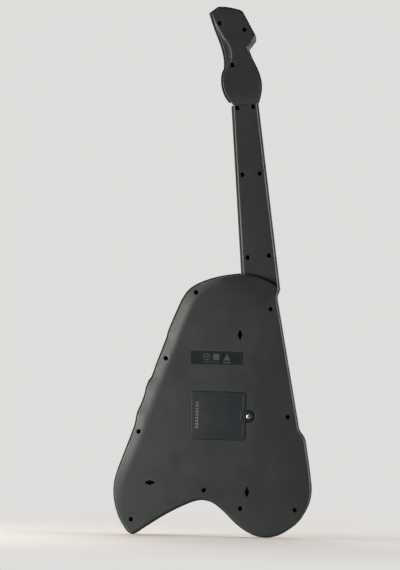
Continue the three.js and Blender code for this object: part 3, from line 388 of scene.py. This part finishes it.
def distance_to(points, line):
    """Distance from each point to a line of (x, z, ...), and the line's third value there."""
    start, step = line[:-1, :2], line[1:, :2] - line[:-1, :2]
    length = np.maximum((step ** 2).sum(1), 1e-12)
    third = line[:, 2] if line.shape[1] > 2 else np.zeros(len(line))
    d, w = np.empty(len(points)), np.empty(len(points))
    for first in range(0, len(points), 1500):
        part = points[first:first + 1500, None]
        share = np.clip(((part - start) * step).sum(2) / length, 0, 1)
        gap = np.linalg.norm(part - start - share[..., None] * step, axis=2)
        best = gap.argmin(1)
        row = np.arange(len(best))
        along = share[row, best]
        d[first:first + 1500] = gap[row, best]
        w[first:first + 1500] = third[best] * (1 - along) + third[best + 1] * along
    return d, w


# ---------------------------------------------------------------- relief surfaces
def slope_table():
    """Depth against distance of a wide bevel: an even slope that rolls off softly into the face."""
    t = np.linspace(0, 1, 101)
    late = np.clip((t - 0.35) / 0.65, 0, 1)
    steepness = 1 - late ** 2 * (3 - 2 * late)
    left = np.cumsum(steepness[::-1])[::-1]
    return t, left / left[0]


SLOPE_T, SLOPE_DEPTH = slope_table()


def round_drop(d, radius):
    """Depth of a quarter-round edge at distance d from it."""
    t = 1 - np.clip(d / radius, 0, 1)
    return radius * (1 - np.sqrt(np.clip(1 - t * t, 0, 1)))


def over(value, start, end):
    """How far a value has come from start towards end, from 0 to 1."""
    return np.clip((value - start) / (end - start), 0, 1)


def body_drop(points, d, bevel):
    """Depth of the body's back below its highest plane: a wide bevel down the left side that steepens
    towards the neck, small round edges, and a back that falls away on the right and beside the neck."""
    x, z = points[:, 0], points[:, 1]
    wide = over(bevel, 3, 12)
    steepness = 0.06 + 0.36 * over(z, 43, 109) + 0.68 * over(z, 109, 299) ** 2
    depth = np.minimum(bevel, 10.5) * steepness
    slope = depth * np.interp(d / np.maximum(bevel, 0.1), SLOPE_T, SLOPE_DEPTH)
    right_side = over(x, 46, 130) ** 1.5 * 3.2
    beside_neck = over(z, 300, 345) ** 2 * 5.0 * over(x, 5, 50)
    edge = (1 - 0.6 * wide) * round_drop(d, 2.4 - 1.2 * wide)
    return wide * slope + edge + right_side + beside_neck


def smooth_line(controls, spacing=1.2):
    return np.vstack([smooth_run(controls, spacing), controls[-1:]])


SCOOP_LINE = smooth_line(SCOOP_EDGE)
SCOOP_REGION = np.vstack([SCOOP_LINE, [(-30, 617), (-40, 690), (-24, 700)]])


def head_drop(points, d, bevel):
    """Depth of the headstock's back: a hollow scoop, one steep chamfer and a crease above the neck."""
    from_edge = distance_to(points, SCOOP_LINE)[0]
    scoop = SCOOP_DEPTH * (1 - np.exp(-4.0 * from_edge / SCOOP_DEPTH)) * inside(points, SCOOP_REGION)
    chamfer = np.clip(1 - d / np.maximum(bevel, 0.1), 0, 1) * bevel * 0.95 * (bevel > 2.2)
    foot = over(in_neck(points)[:, 1], NECK_LENGTH + 9, NECK_LENGTH + 1) * 1.5
    return scoop + np.maximum(chamfer, round_drop(d, 0.9)) + foot


def plain_drop(radius):
    return lambda points, d, bevel: round_drop(d, radius)


RINGS = (0.15, 0.45, 0.9, 1.5, 2.3, 3.3)  # rows of points along the edge, at these distances from it
GRID_START = 4.2
BESIDE_CREASE = (-1.2, -0.5, 0, 0.4, 0.9, 1.5, 2.3, 3.3, 4.6)


def scattered(loop, fine, coarse, band, crease):
    """The points of a casing's face: closely spaced rows along its edge, a fine grid over its bevel and
    a coarse one elsewhere. Returns the points, their distances from the edge and the bevel's width there."""
    edge = loop[:, :2]
    normal = normals_of(loop)
    lo, hi = edge.min(0), edge.max(0)
    closed = np.vstack([loop, loop[:1]])
    points, distance, bevel = [edge], [np.zeros(len(edge))], [loop[:, 2]]
    for d in RINGS:
        ring = edge + normal * d
        true, w = distance_to(ring, closed)
        keep = (true > d * 0.85) & inside(ring, edge)
        points.append(ring[keep])
        distance.append(np.full(keep.sum(), d))
        bevel.append(w[keep])
    for step, on_bevel in ((fine, True), (coarse, False)):
        gx, gz = np.meshgrid(np.arange(lo[0], hi[0], step), np.arange(lo[1], hi[1], step * 0.87))
        gx[1::2] += step / 2
        grid = np.stack([gx.ravel(), gz.ravel()], 1)
        grid = grid[inside(grid, edge)]
        d, w = distance_to(grid, closed)
        reach = np.maximum(w + 2.5, band)
        keep = (d > GRID_START) & (d <= reach) if on_bevel else d > reach
        points.append(grid[keep])
        distance.append(d[keep])
        bevel.append(w[keep])
    points, distance, bevel = np.vstack(points), np.concatenate(distance), np.concatenate(bevel)
    if crease is not None:
        rows = np.vstack([crease + normals_of(crease) * k for k in BESIDE_CREASE])
        d, w = distance_to(rows, closed)
        keep = inside(rows, edge) & (d > 0.3)
        clear = distance_to(points, crease)[0] > 1.0
        clear[:len(edge)] = True
        points = np.vstack([points[clear], rows[keep]])
        distance = np.concatenate([distance[clear], d[keep]])
        bevel = np.concatenate([bevel[clear], w[keep]])
    return points, distance, bevel


def with_holes(loop, holes, points, distance, bevel):
    """The same points, cleared round each hole and with the hole's mouth added, and each mouth's indices."""
    closed = np.vstack([loop, loop[:1]])
    for hole, _, lip in holes:
        clear = ~inside(points, hole + normals_of(hole) * -(lip + 0.5))
        clear[:len(loop)] = True
        points, distance, bevel = points[clear], distance[clear], bevel[clear]
    mouths = []
    for hole, _, lip in holes:
        mouth = hole - normals_of(hole) * lip
        d, w = distance_to(mouth, closed)
        mouths.append(range(len(points), len(points) + len(hole)))
        points, distance, bevel = np.vstack([points, mouth]), np.append(distance, d), np.append(bevel, w)
    return points, distance, bevel, mouths


def meshed(loop, holes, points, depth, mouths, face):
    """The face as a mesh, and its vertex for each point."""
    count = len(loop)
    edges = [(i, (i + 1) % count) for i in range(count)]
    for mouth in mouths:
        edges += zip(mouth, [*mouth[1:], mouth[0]])
    found, _, faces, origin, _, _ = delaunay_2d_cdt(
        [Vector(p) for p in points.tolist()], edges, [list(range(count))], 1, 1e-5, True)
    origin = [o[0] if o else None for o in origin]
    flat = np.array([list(p) for p in found])
    centre = np.array([flat[list(f)].mean(0) for f in faces])
    solid = inside(centre, loop[:, :2])
    for hole, _, lip in holes:
        solid &= ~inside(centre, hole - normals_of(hole) * lip)
    mesh = bmesh.new()
    verts = [mesh.verts.new((p[0], depth[o] if o is not None else face, p[1])) for p, o in zip(flat, origin)]
    for ok, f in zip(solid, faces):
        if ok:
            mesh.faces.new([verts[i] for i in f])
    return mesh, {o: v for o, v in zip(origin, verts) if o is not None}


def add_wall(mesh, ring, places, depths, slot=0):
    """A band of faces from a ring of vertices to the same number of places and depths."""
    made = [mesh.verts.new((p[0], y, p[1])) for p, y in zip(places, depths)]
    for i, v in enumerate(ring):
        j = (i + 1) % len(ring)
        mesh.faces.new([v, ring[j], made[j], made[i]]).material_index = slot
    return made


def relief(name, loop, holes, face, drop, rim, fine=2.0, coarse=7.0, band=6.0, move=None, crease=None):
    """A casing whose face follows drop() and whose wall runs to the rim, open behind.
    Each hole is (loop, floor depth or None, lip). A crease is a line that the mesh follows."""
    edge = loop[:, :2]
    points, distance, bevel, mouths = with_holes(loop, holes, *scattered(loop, fine, coarse, band, crease))
    depth = face + drop(points, distance, bevel)
    mesh, at = meshed(loop, holes, points, depth, mouths, face)
    border = [at[i] for i in range(len(edge))]
    add_wall(mesh, border, edge, [max(rim(p), v.co.y + 0.3) for p, v in zip(edge, border)])
    for (hole, floor, lip), mouth in zip(holes, mouths):
        ring = [at[i] for i in mouth]
        ring = add_wall(mesh, ring, hole, [v.co.y + lip for v in ring])
        # Below its lip a hole's wall and its floor take the second slot, which is painted shade.
        if floor:
            ring = add_wall(mesh, ring, hole, [floor] * len(hole), 1)
            mesh.faces.new(ring[::-1]).material_index = 1
    for v in [v for v in mesh.verts if not v.link_faces]:
        mesh.verts.remove(v)
    bmesh.ops.recalc_face_normals(mesh, faces=mesh.faces)
    highest = min(mesh.faces, key=lambda f: f.calc_center_median().y)
    if highest.normal.y > 0:
        bmesh.ops.reverse_faces(mesh, faces=mesh.faces)
    mesh.transform(Matrix.Scale(MM, 4))
    if move:
        mesh.transform(move)
    return finished(name, mesh)


def finished(name, mesh, smooth_below=32.0):
    data = bpy.data.meshes.new(name)
    mesh.to_mesh(data)
    mesh.free()
    data.shade_smooth()
    data.set_sharp_from_angle(angle=math.radians(smooth_below))
    obj = bpy.data.objects.new(name, data)
    bpy.context.collection.objects.link(obj)
    return obj


def dress(obj, material, body="guitar", replaced=(), thickness=0.0):
    obj.data.materials.append(material)
    if thickness:
        # The second slot paints the holes' deep walls and floors in shade.
        obj.data.materials.append(painted_recess_shade)
        shell = obj.modifiers.new("wall", "SOLIDIFY")
        shell.thickness = thickness * MM
        shell.offset = -1
    if replaced:
        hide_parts(*replaced)
    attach(obj, body)
    return obj


neck_move = (Matrix.Translation((NECK_FOOT[0] * MM, 0, NECK_FOOT[1] * MM))
             @ Matrix.Rotation(-NECK_LEAN, 4, "Y"))


def in_neck(points):
    """Row-frame X-Z points as neck-frame points."""
    p = np.atleast_2d(points) - NECK_FOOT
    c, s = math.cos(NECK_LEAN), math.sin(NECK_LEAN)
    return np.stack([p[:, 0] * c + p[:, 1] * s, -p[:, 0] * s + p[:, 1] * c], 1)


NECK_SCREWS = [tuple(np.round(in_neck(middle(f"neck_screw_{i}"))[0], 1).tolist()) for i in range(1, 7)]


def half_width(v):
    """Half the neck's width at v along it."""
    foot, nut = NECK_HALF_WIDTHS
    return foot + (nut - foot) * v / NECK_LENGTH


def body_rim(p):
    """The wall of the body's back stops short where the neck passes under it."""
    u, v = in_neck(p)[0]
    return NECK_BACK - 0.5 if v > -11.5 and abs(u) < half_width(v) + 0.8 else RIM


# ---------------------------------------------------------------- casings
def build_body_back():
    cover = cover_loop(0.35, TAB_ROOM) + (0.15, 0)
    holes = [(circle(x, z, HOLE_RADIUS), BODY_SCREW_Y + ABOVE_SEAT, 0.25) for x, z in BODY_SCREWS]
    holes += [(bow_tie(x, z, upright), BODY_BACK + SOCKET_DEPTH, 0.2) for x, z, upright in SOCKETS]
    holes.append((cover, None, 0.2))
    holes.append((label_loop(0, 0.6, 2), BODY_BACK + 0.4, 0.1))
    shell = relief("body_back_casing", outline([SHOULDER, FLANK, LOBES, WAIST, CORNER], STEP_IN),
                   holes, BODY_BACK, body_drop, body_rim)
    dress(shell, back_plastic, replaced=["back_shell"], thickness=WALL)


def label_loop(inset, corner, steps):
    left, right, bottom, top = LABEL
    return rounded_box((left + right) / 2, (bottom + top) / 2, right - left - 2 * inset,
                       top - bottom - 2 * inset, corner, steps)


def cover_loop(grow, tab):
    """The battery cover's outline: a rounded rectangle with a round tab for its screw."""
    x, z = COVER_MIDDLE
    base = rounded_box(x, z, COVER_WIDTH + 2 * grow, COVER_HEIGHT + 2 * grow, COVER_CORNER + grow)
    sx, sz = COVER_SCREW
    reach = math.acos((x + COVER_WIDTH / 2 + grow - sx) / tab)
    arc = [(sx + tab * math.cos(a), sz + tab * math.sin(a)) for a in np.linspace(-reach, reach, 25)]
    return subdivided(np.vstack([arc, base]))


def build_cover():
    loop = cover_loop(0.0, COVER_TAB)
    holes = [(circle(*COVER_SCREW, 4.3), BODY_BACK + 2.0, 0.35)]
    cover = relief("battery_cover_skin", np.column_stack([loop, np.full(len(loop), 1.0)]), holes,
                   BODY_BACK + 0.05, plain_drop(0.55), lambda p: BODY_BACK + 1.8, band=4.5, coarse=6.0)
    dress(cover, cover_plastic, "battery_door", ["battery_cover"], thickness=1.2)


def build_neck_back():
    foot = half_width(-11) - NECK_STEP
    top = half_width(NECK_LENGTH) - NECK_STEP
    corners = [(-foot, -11.0, 2.6), (foot, -11.0, 2.6), (top, NECK_LENGTH, 2.6), (-top, NECK_LENGTH, 2.6)]
    loop = outline([[a, b] for a, b in zip(corners, corners[1:] + corners[:1])], rounding=1)
    holes = [(circle(u, v, HOLE_RADIUS), NECK_SCREW_Y + ABOVE_SEAT, 0.2) for u, v in NECK_SCREWS]

    def neck_drop(points, d, bevel):
        side = half_width(points[:, 1]) - NECK_STEP - np.abs(points[:, 0])
        return np.clip(1 - side / 1.6, 0, 1) * 1.7 + round_drop(np.maximum(side, 0), 0.5)

    neck = relief("neck_back_casing", loop, holes, NECK_BACK, neck_drop, lambda p: RIM, move=neck_move,
                  band=5.0)
    dress(neck, back_plastic, replaced=["neck_back_cover"], thickness=WALL)


def build_head_back():
    loop = outline(HEAD, 0, spacing=1.1, rounding=2)
    inset = HEAD_STEP - (HEAD_STEP - 0.3) * over(loop[:, 2], 1.5, 3.5)  # little where the chamfer is
    loop[:, :2] += normals_of(loop) * inset[:, None]
    short = np.maximum(NECK_LENGTH + 0.4 - in_neck(loop[:, :2])[:, 1], 0)
    loop[:, :2] += short[:, None] * (-math.sin(NECK_LEAN), math.cos(NECK_LEAN))
    holes = [(circle(x, z, HOLE_RADIUS), HEAD_SCREW_Y + ABOVE_SEAT, 0.2) for x, z in HEAD_SCREWS]
    head = relief("headstock_back_casing", loop, holes, HEAD_BACK, head_drop, lambda p: RIM,
                  fine=1.6, coarse=5.0, band=4.0, crease=SCOOP_LINE)
    dress(head, back_plastic, replaced=["headstock_back"], thickness=WALL)


def lathe(mesh, profile, place, sides=28):
    """Adds a turned piece about Y. The profile is (radius, y) from the axis outwards and back."""
    rings = []
    for radius, y in profile:
        angles = np.arange(sides if radius > 1e-6 else 1) * 2 * math.pi / sides
        spots = [Vector((radius * math.cos(a), y, radius * math.sin(a))) * MM for a in angles]
        rings.append([mesh.verts.new(place @ spot) for spot in spots])
    for low, high in zip(rings, rings[1:]):
        for i in range(sides):
            j = (i + 1) % sides
            ring = [low[i % len(low)], low[j % len(low)], high[j % len(high)], high[i % len(high)]]
            mesh.faces.new(list(dict.fromkeys(ring)))


def cross_loop(arm, half, turn):
    """Outline of a Phillips cross with slightly tapered arms."""
    points = []
    for quarter in range(4):
        a = turn + quarter * math.pi / 2
        for u, v in ((half, -half), (arm, -half * 0.7), (arm, half * 0.7)):
            points.append((u * math.cos(a) - v * math.sin(a), u * math.sin(a) + v * math.cos(a)))
    return np.array(points)


def screw(name, place, head, y, length, material, replaced, body="guitar", turn=0.3):
    """A domed self-tapping screw with a cross recess, its head's underside at y."""
    rim_loop = circle(0, 0, head, 40)
    top = y - HEAD_HEIGHT
    loop = np.column_stack([rim_loop, np.full(len(rim_loop), 1.0)])
    cross = cross_loop(head * 0.56, head * 0.13, turn)
    obj = relief(name, loop, [(cross, top + CROSS_DEPTH, 0.08)], top,
                 lambda points, d, bevel: DOME * (1 - d / head) ** 2 + round_drop(d, 0.35), lambda p: y,
                 fine=head * 0.2, coarse=head, band=head, move=place)
    mesh = bmesh.new()
    mesh.from_mesh(obj.data)
    shank = [(0, y), (head, y), (1.35, y + 0.05)]
    for k in range(int(length / THREAD_PITCH) - 1):
        turn_y = y + THREAD_PITCH * k
        shank += [(1.2, turn_y + 0.4), (1.6, turn_y + 1.0), (1.2, turn_y + 1.3)]
    lathe(mesh, shank + [(0.4, y + length - 0.4), (0, y + length - 0.1)], place)
    bmesh.ops.recalc_face_normals(mesh, faces=mesh.faces)
    mesh.to_mesh(obj.data)
    mesh.free()
    obj.data.set_sharp_from_angle(angle=math.radians(35))
    dress(obj, material, body, [replaced])
    # The screw's cross recess takes the painted shade.
    obj.data.materials.append(painted_recess_shade)


def build_screws():
    def upright(x, z):
        return Matrix.Translation((x * MM, 0, z * MM))

    groups = (
        ("body_screw", [upright(*spot) for spot in BODY_SCREWS], BODY_SCREW_Y, 16),
        ("neck_screw", [neck_move @ upright(*spot) for spot in NECK_SCREWS], NECK_SCREW_Y, 13),
        ("headstock_screw", [upright(*spot) for spot in HEAD_SCREWS], HEAD_SCREW_Y, 12),
    )
    for kind, places, y, length in groups:
        for i, place in enumerate(places, 1):
            screw(f"{kind}_head_{i}", place, SCREW_RADIUS, y, length, black_steel, f"{kind}_{i}")
    screw("cover_screw_head", upright(*COVER_SCREW), 2.9, BODY_BACK + 1.7, 7.5, nickel,
          "battery_cover_screw", "battery_door")


# ---------------------------------------------------------------- label and marks
def slab(mesh, loop, low, high):
    """A thin flat mark: the loop raised from depth low to depth high, towards -Y."""
    top = [mesh.verts.new((p[0] * MM, high * MM, p[1] * MM)) for p in loop]
    base = [mesh.verts.new((p[0] * MM, low * MM, p[1] * MM)) for p in loop]
    mesh.faces.new(top)
    mesh.faces.new(base[::-1])
    for i in range(len(loop)):
        j = (i + 1) % len(loop)
        mesh.faces.new([top[i], base[i], base[j], top[j]])


def wedge(mesh, path, width, low, high):
    """A low ridge of triangular section along an open path."""
    path = np.array(path, float)
    along = np.gradient(path, axis=0)
    along /= np.linalg.norm(along, axis=1)[:, None]
    side = np.stack([-along[:, 1], along[:, 0]], 1) * width / 2
    lines = [[mesh.verts.new((x * MM, y * MM, z * MM)) for x, z in line]
             for line, y in ((path - side, low), (path, high), (path + side, low))]
    for first, second in zip(lines, lines[1:] + lines[:1]):
        for i in range(len(path) - 1):
            mesh.faces.new([first[i], first[i + 1], second[i + 1], second[i]])
    for end in (0, -1):
        mesh.faces.new([line[end] for line in lines])


def add_ring(mesh, x, z, outer, inner, low, high, count=28):
    """A flat ring built of short pieces."""
    for k in range(count):
        a, b = 2 * math.pi * k / count, 2 * math.pi * (k + 1) / count
        slab(mesh, [(x + r * math.cos(t), z + r * math.sin(t))
                    for r, t in ((outer, a), (outer, b), (inner, b), (inner, a))], low, high)


def add_mark(name, mesh, material, body="guitar"):
    bmesh.ops.recalc_face_normals(mesh, faces=mesh.faces)
    dress(finished(name, mesh), material, body)


def build_label():
    """A generic rating label: a film with plain geometric marks and no lettering."""
    film = bmesh.new()
    slab(film, label_loop(0.25, 0.5, 3), BODY_BACK + 0.38, BODY_BACK + 0.16)
    add_mark("label_film_panel", film, label_film)
    marks = bmesh.new()
    low, high = BODY_BACK + 0.155, BODY_BACK + 0.10
    add_ring(marks, -12.5, 237.2, 4.6, 3.5, low, high)
    slab(marks, [(-14.6, 236.3), (-10.4, 236.3), (-12.5, 239.6)], low, high)
    slab(marks, rounded_box(0.2, 237.2, 8.2, 8.2, 1.2, 4), low, high)
    slab(marks, [(9.5, 232.8), (19.0, 232.8), (14.25, 241.4)], low, high)
    slab(marks, rounded_box(14.25, 230.0, 10, 1.9, 0.3, 2), low, high)
    for k in range(9):
        slab(marks, rounded_box(-16.6 + 2.5 * k, 230.1, 1.7, 0.8, 0.15, 1), low, high)
    add_mark("label_marks", marks, label_print)


def build_cover_print():
    """Two columns of small dashes down the cover's left side."""
    dashes = bmesh.new()
    for k in range(9):
        for side, (width, height) in enumerate(((1.3, 1.7), (1.0, 2.4))):
            slab(dashes, rounded_box(-24.2 + 2.0 * side, 144.6 + 4.0 * k - 0.7 * side, width, height, 0.2, 1),
                 BODY_BACK + 0.05, BODY_BACK - 0.03)
    add_mark("cover_print", dashes, gilt_print, "battery_door")


def build_cover_ridge():
    """The low ridge on the cover that bends round its screw."""
    ridge = bmesh.new()
    z, sx, sz = COVER_MIDDLE[1], *COVER_SCREW
    low, high = BODY_BACK + 0.08, BODY_BACK - 0.1
    for start, end in ((z - COVER_HEIGHT / 2 + 4, z - 9.6), (z + 9.6, z + COVER_HEIGHT / 2 - 4)):
        wedge(ridge, [(37.2, start), (37.2, end)], 1.0, low, high)
    turn = np.radians(np.linspace(136, 224, 20))
    wedge(ridge, np.stack([sx + 10 * np.cos(turn), sz + 10 * np.sin(turn)], 1), 1.0, low, high)
    add_mark("cover_ridge", ridge, cover_plastic, "battery_door")


# ---------------------------------------------------------------- carried-over CAD nodes
def softening():
    """A node group that joins split corners and shades a mesh smooth below a limit angle."""
    group = bpy.data.node_groups.new("softening", "GeometryNodeTree")
    group.interface.new_socket("Geometry", in_out="INPUT", socket_type="NodeSocketGeometry")
    group.interface.new_socket("Geometry", in_out="OUTPUT", socket_type="NodeSocketGeometry")
    n, links = group.nodes, group.links
    start, end = n.new("NodeGroupInput"), n.new("NodeGroupOutput")
    merge = n.new("GeometryNodeMergeByDistance")
    merge.inputs["Distance"].default_value = 2e-5
    angle = n.new("GeometryNodeInputMeshEdgeAngle")
    steep = n.new("FunctionNodeCompare")
    steep.data_type = "FLOAT"
    steep.operation = "GREATER_THAN"
    steep.inputs["B"].default_value = math.radians(33)
    faces, edges = n.new("GeometryNodeSetShadeSmooth"), n.new("GeometryNodeSetShadeSmooth")
    edges.domain = "EDGE"
    edges.inputs["Shade Smooth"].default_value = False
    links.new(start.outputs[0], merge.inputs["Geometry"])
    links.new(merge.outputs["Geometry"], faces.inputs["Geometry"])
    links.new(faces.outputs["Geometry"], edges.inputs["Geometry"])
    links.new(angle.outputs["Unsigned Angle"], steep.inputs["A"])
    links.new(steep.outputs["Result"], edges.inputs["Selection"])
    links.new(edges.outputs["Geometry"], end.inputs[0])
    return group


soften = softening()


def carry(name, material, bevel=0.0):
    """Keeps a CAD node, with smooth shading, small rounded edges and its own material."""
    obj = nodes[name]
    for held in obj.material_slots:
        held.material = material
    obj.modifiers.new("soften", "NODES").node_group = soften
    if bevel:
        flat = obj.modifiers.new("flat", "DECIMATE")
        flat.decimate_type = "DISSOLVE"
        flat.angle_limit = math.radians(2)
        edge = obj.modifiers.new("edge", "BEVEL")
        edge.width = bevel * MM
        edge.segments = 2
        edge.limit_method = "ANGLE"
        edge.angle_limit = math.radians(33)
        edge.harden_normals = True


def carry_all():
    """Each carried-over node's material and the width of its rounded edges."""
    carried = {
        "front_shell": (black_gloss, 0), "headstock_front": (black_gloss, 0),
        "faceplate": (red_gloss, 0.3), "pickguard": (pearl, 0.3),
        "speaker_grille": (black_gloss, 0.25), "fingerboard": (fingerboard_plastic, 0.2),
        "tuner_plate": (chrome, 0.3), "bridge": (chrome, 0.3),
        "whammy_bar": (chrome, 0), "volume_knob": (chrome, 0.2), "power_switch": (black_gloss, 0.3),
        "demo_button": (buttons["red"], 0.5), "rhythm_button": (buttons["yellow"], 0.5),
        "effect_button": (buttons["blue"], 0.5), "battery_box": (bay_plastic, 0.2),
        "contacts_left": (steel, 0), "contacts_right": (steel, 0),
        "main_board": (board_green, 0), "neck_board": (board_green, 0),
        "neck_ribbon_cable": (cable_grey, 0), "speaker_lead": (cable_grey, 0),
        "speaker_driver": (speaker_grey, 0),
    }
    for name, (material, bevel) in carried.items():
        carry(name, material, bevel)
    for i, colour in enumerate(BUTTON_COLOURS):
        carry(f"fret_button_{i + 1}", buttons[colour], 0.5)
    for i in range(6):
        carry(f"string_{i + 1}", steel)
    for i in range(4):
        carry(f"battery_{i + 1}", cell_copper, 0.3)


# ---------------------------------------------------------------- studio
CAMERA_DISTANCE = 7.0
HEIGHT_SEEN = 0.750
CAMERA_ROLL = math.radians(1.5)
CAMERA_X, CAMERA_Z = -0.0237, 0.3312


def build_camera():
    """Looks along +Y at mid height, rolled a little, from far enough away to flatten the view."""
    camera = bpy.data.objects.new("camera", bpy.data.cameras.new("camera"))
    bpy.context.collection.objects.link(camera)
    camera.data.sensor_width = 36.0
    camera.data.lens = camera.data.sensor_width * CAMERA_DISTANCE / HEIGHT_SEEN
    place = Matrix.Translation((CAMERA_X, BODY_BACK * MM - CAMERA_DISTANCE, CAMERA_Z))
    level = Matrix.Rotation(math.pi / 2, 4, "X")
    camera.matrix_world = place @ level @ Matrix.Rotation(CAMERA_ROLL, 4, "Z")
    bpy.context.scene.camera = camera


def area_light(name, place, target, size, size_y, power, colour=(1, 1, 1)):
    data = bpy.data.lights.new(name, "AREA")
    data.shape = "RECTANGLE"
    data.size, data.size_y = size, size_y
    data.energy = power
    data.color = colour
    obj = bpy.data.objects.new(name, data)
    bpy.context.collection.objects.link(obj)
    obj.visible_camera = False
    obj.location = place
    obj.rotation_mode = "QUATERNION"
    obj.rotation_quaternion = (Vector(target) - Vector(place)).to_track_quat("-Z", "Y")


BACKDROP = (0.735, 0.726, 0.712)


def build_world():
    """A pale backdrop. The object is lit by surroundings that are brighter on the right and behind."""
    world = bpy.data.worlds.new("studio")
    bpy.context.scene.world = world
    world.use_nodes = True
    n, links = world.node_tree.nodes, world.node_tree.links
    backdrop = n["Background"]
    backdrop.inputs["Color"].default_value = (*BACKDROP, 1)
    around = n.new("ShaderNodeBackground")
    coords, parts = n.new("ShaderNodeTexCoord"), n.new("ShaderNodeSeparateXYZ")
    links.new(coords.outputs["Generated"], parts.inputs[0])
    side = ramp(n, links, parts.outputs["X"], 0.02, 1.0, 0.55, 0.95)
    behind = ramp(n, links, parts.outputs["Y"], 0.02, 0.5, 0.0, 0.8)
    total = n.new("ShaderNodeMath")
    links.new(side, total.inputs[0])
    links.new(behind, total.inputs[1])
    links.new(total.outputs[0], around.inputs["Strength"])
    path, mix = n.new("ShaderNodeLightPath"), n.new("ShaderNodeMixShader")
    links.new(path.outputs["Is Camera Ray"], mix.inputs["Fac"])
    links.new(around.outputs[0], mix.inputs[1])
    links.new(backdrop.outputs[0], mix.inputs[2])
    links.new(mix.outputs[0], n["World Output"].inputs["Surface"])


def floor_material():
    """Plain pale and matt. Away from the object it turns into an even glow that meets the backdrop."""
    material, n, links, shader = tree_of("pale_floor")
    coords = n.new("ShaderNodeTexCoord")
    tone = noise(n, links, coords, 30.0, 4.0).outputs["Fac"]
    links.new(tones(n, links, tone, (0.495, 0.474, 0.450), (0.515, 0.494, 0.470)),
              shader.inputs["Base Color"])
    shader.inputs["Roughness"].default_value = 0.9
    shader.inputs["Specular IOR Level"].default_value = 0.0
    glow, path = n.new("ShaderNodeEmission"), n.new("ShaderNodeLightPath")
    glow.inputs["Color"].default_value = (*BACKDROP, 1)
    links.new(ramp(n, links, path.outputs["Is Camera Ray"], 0.1, 1.0, 0.0, 1.0), glow.inputs["Strength"])
    away = n.new("ShaderNodeVectorMath")
    away.operation = "LENGTH"
    links.new(coords.outputs["Object"], away.inputs[0])
    mix = n.new("ShaderNodeMixShader")
    links.new(ramp(n, links, away.outputs["Value"], 0.25, 1.0, 0.2, 0.65), mix.inputs["Fac"])
    links.new(shader.outputs["BSDF"], mix.inputs[1])
    links.new(glow.outputs["Emission"], mix.inputs[2])
    links.new(mix.outputs["Shader"], n["Material Output"].inputs["Surface"])
    return material


def build_studio():
    build_world()
    area_light("key", (-0.92, -0.42, 0.07), (0, 0, 0.2), 0.4, 0.5, 42)
    area_light("rim", (1.3, 0.12, 0.3), (0, 0, 0.5), 0.5, 0.9, 40, (1.0, 0.95, 0.92))
    area_light("left", (-1.25, 0.03, 0.45), (0, 0, 0.4), 0.5, 0.6, 15, (1.0, 0.86, 0.72))
    area_light("behind", (0, 1.3, 1.3), (0, 0, 0), 1.8, 0.9, 20, (0.95, 1.0, 1.06))
    mesh = bmesh.new()
    bmesh.ops.create_circle(mesh, cap_ends=True, segments=96, radius=9.0)
    floor = finished("floor", mesh)
    floor.data.materials.append(floor_material())
    bpy.context.scene.view_settings.view_transform = "Standard"


build_camera()
build_studio()
build_body_back()
build_cover()
build_neck_back()
build_head_back()
build_screws()
build_label()
build_cover_print()
build_cover_ridge()
carry_all()
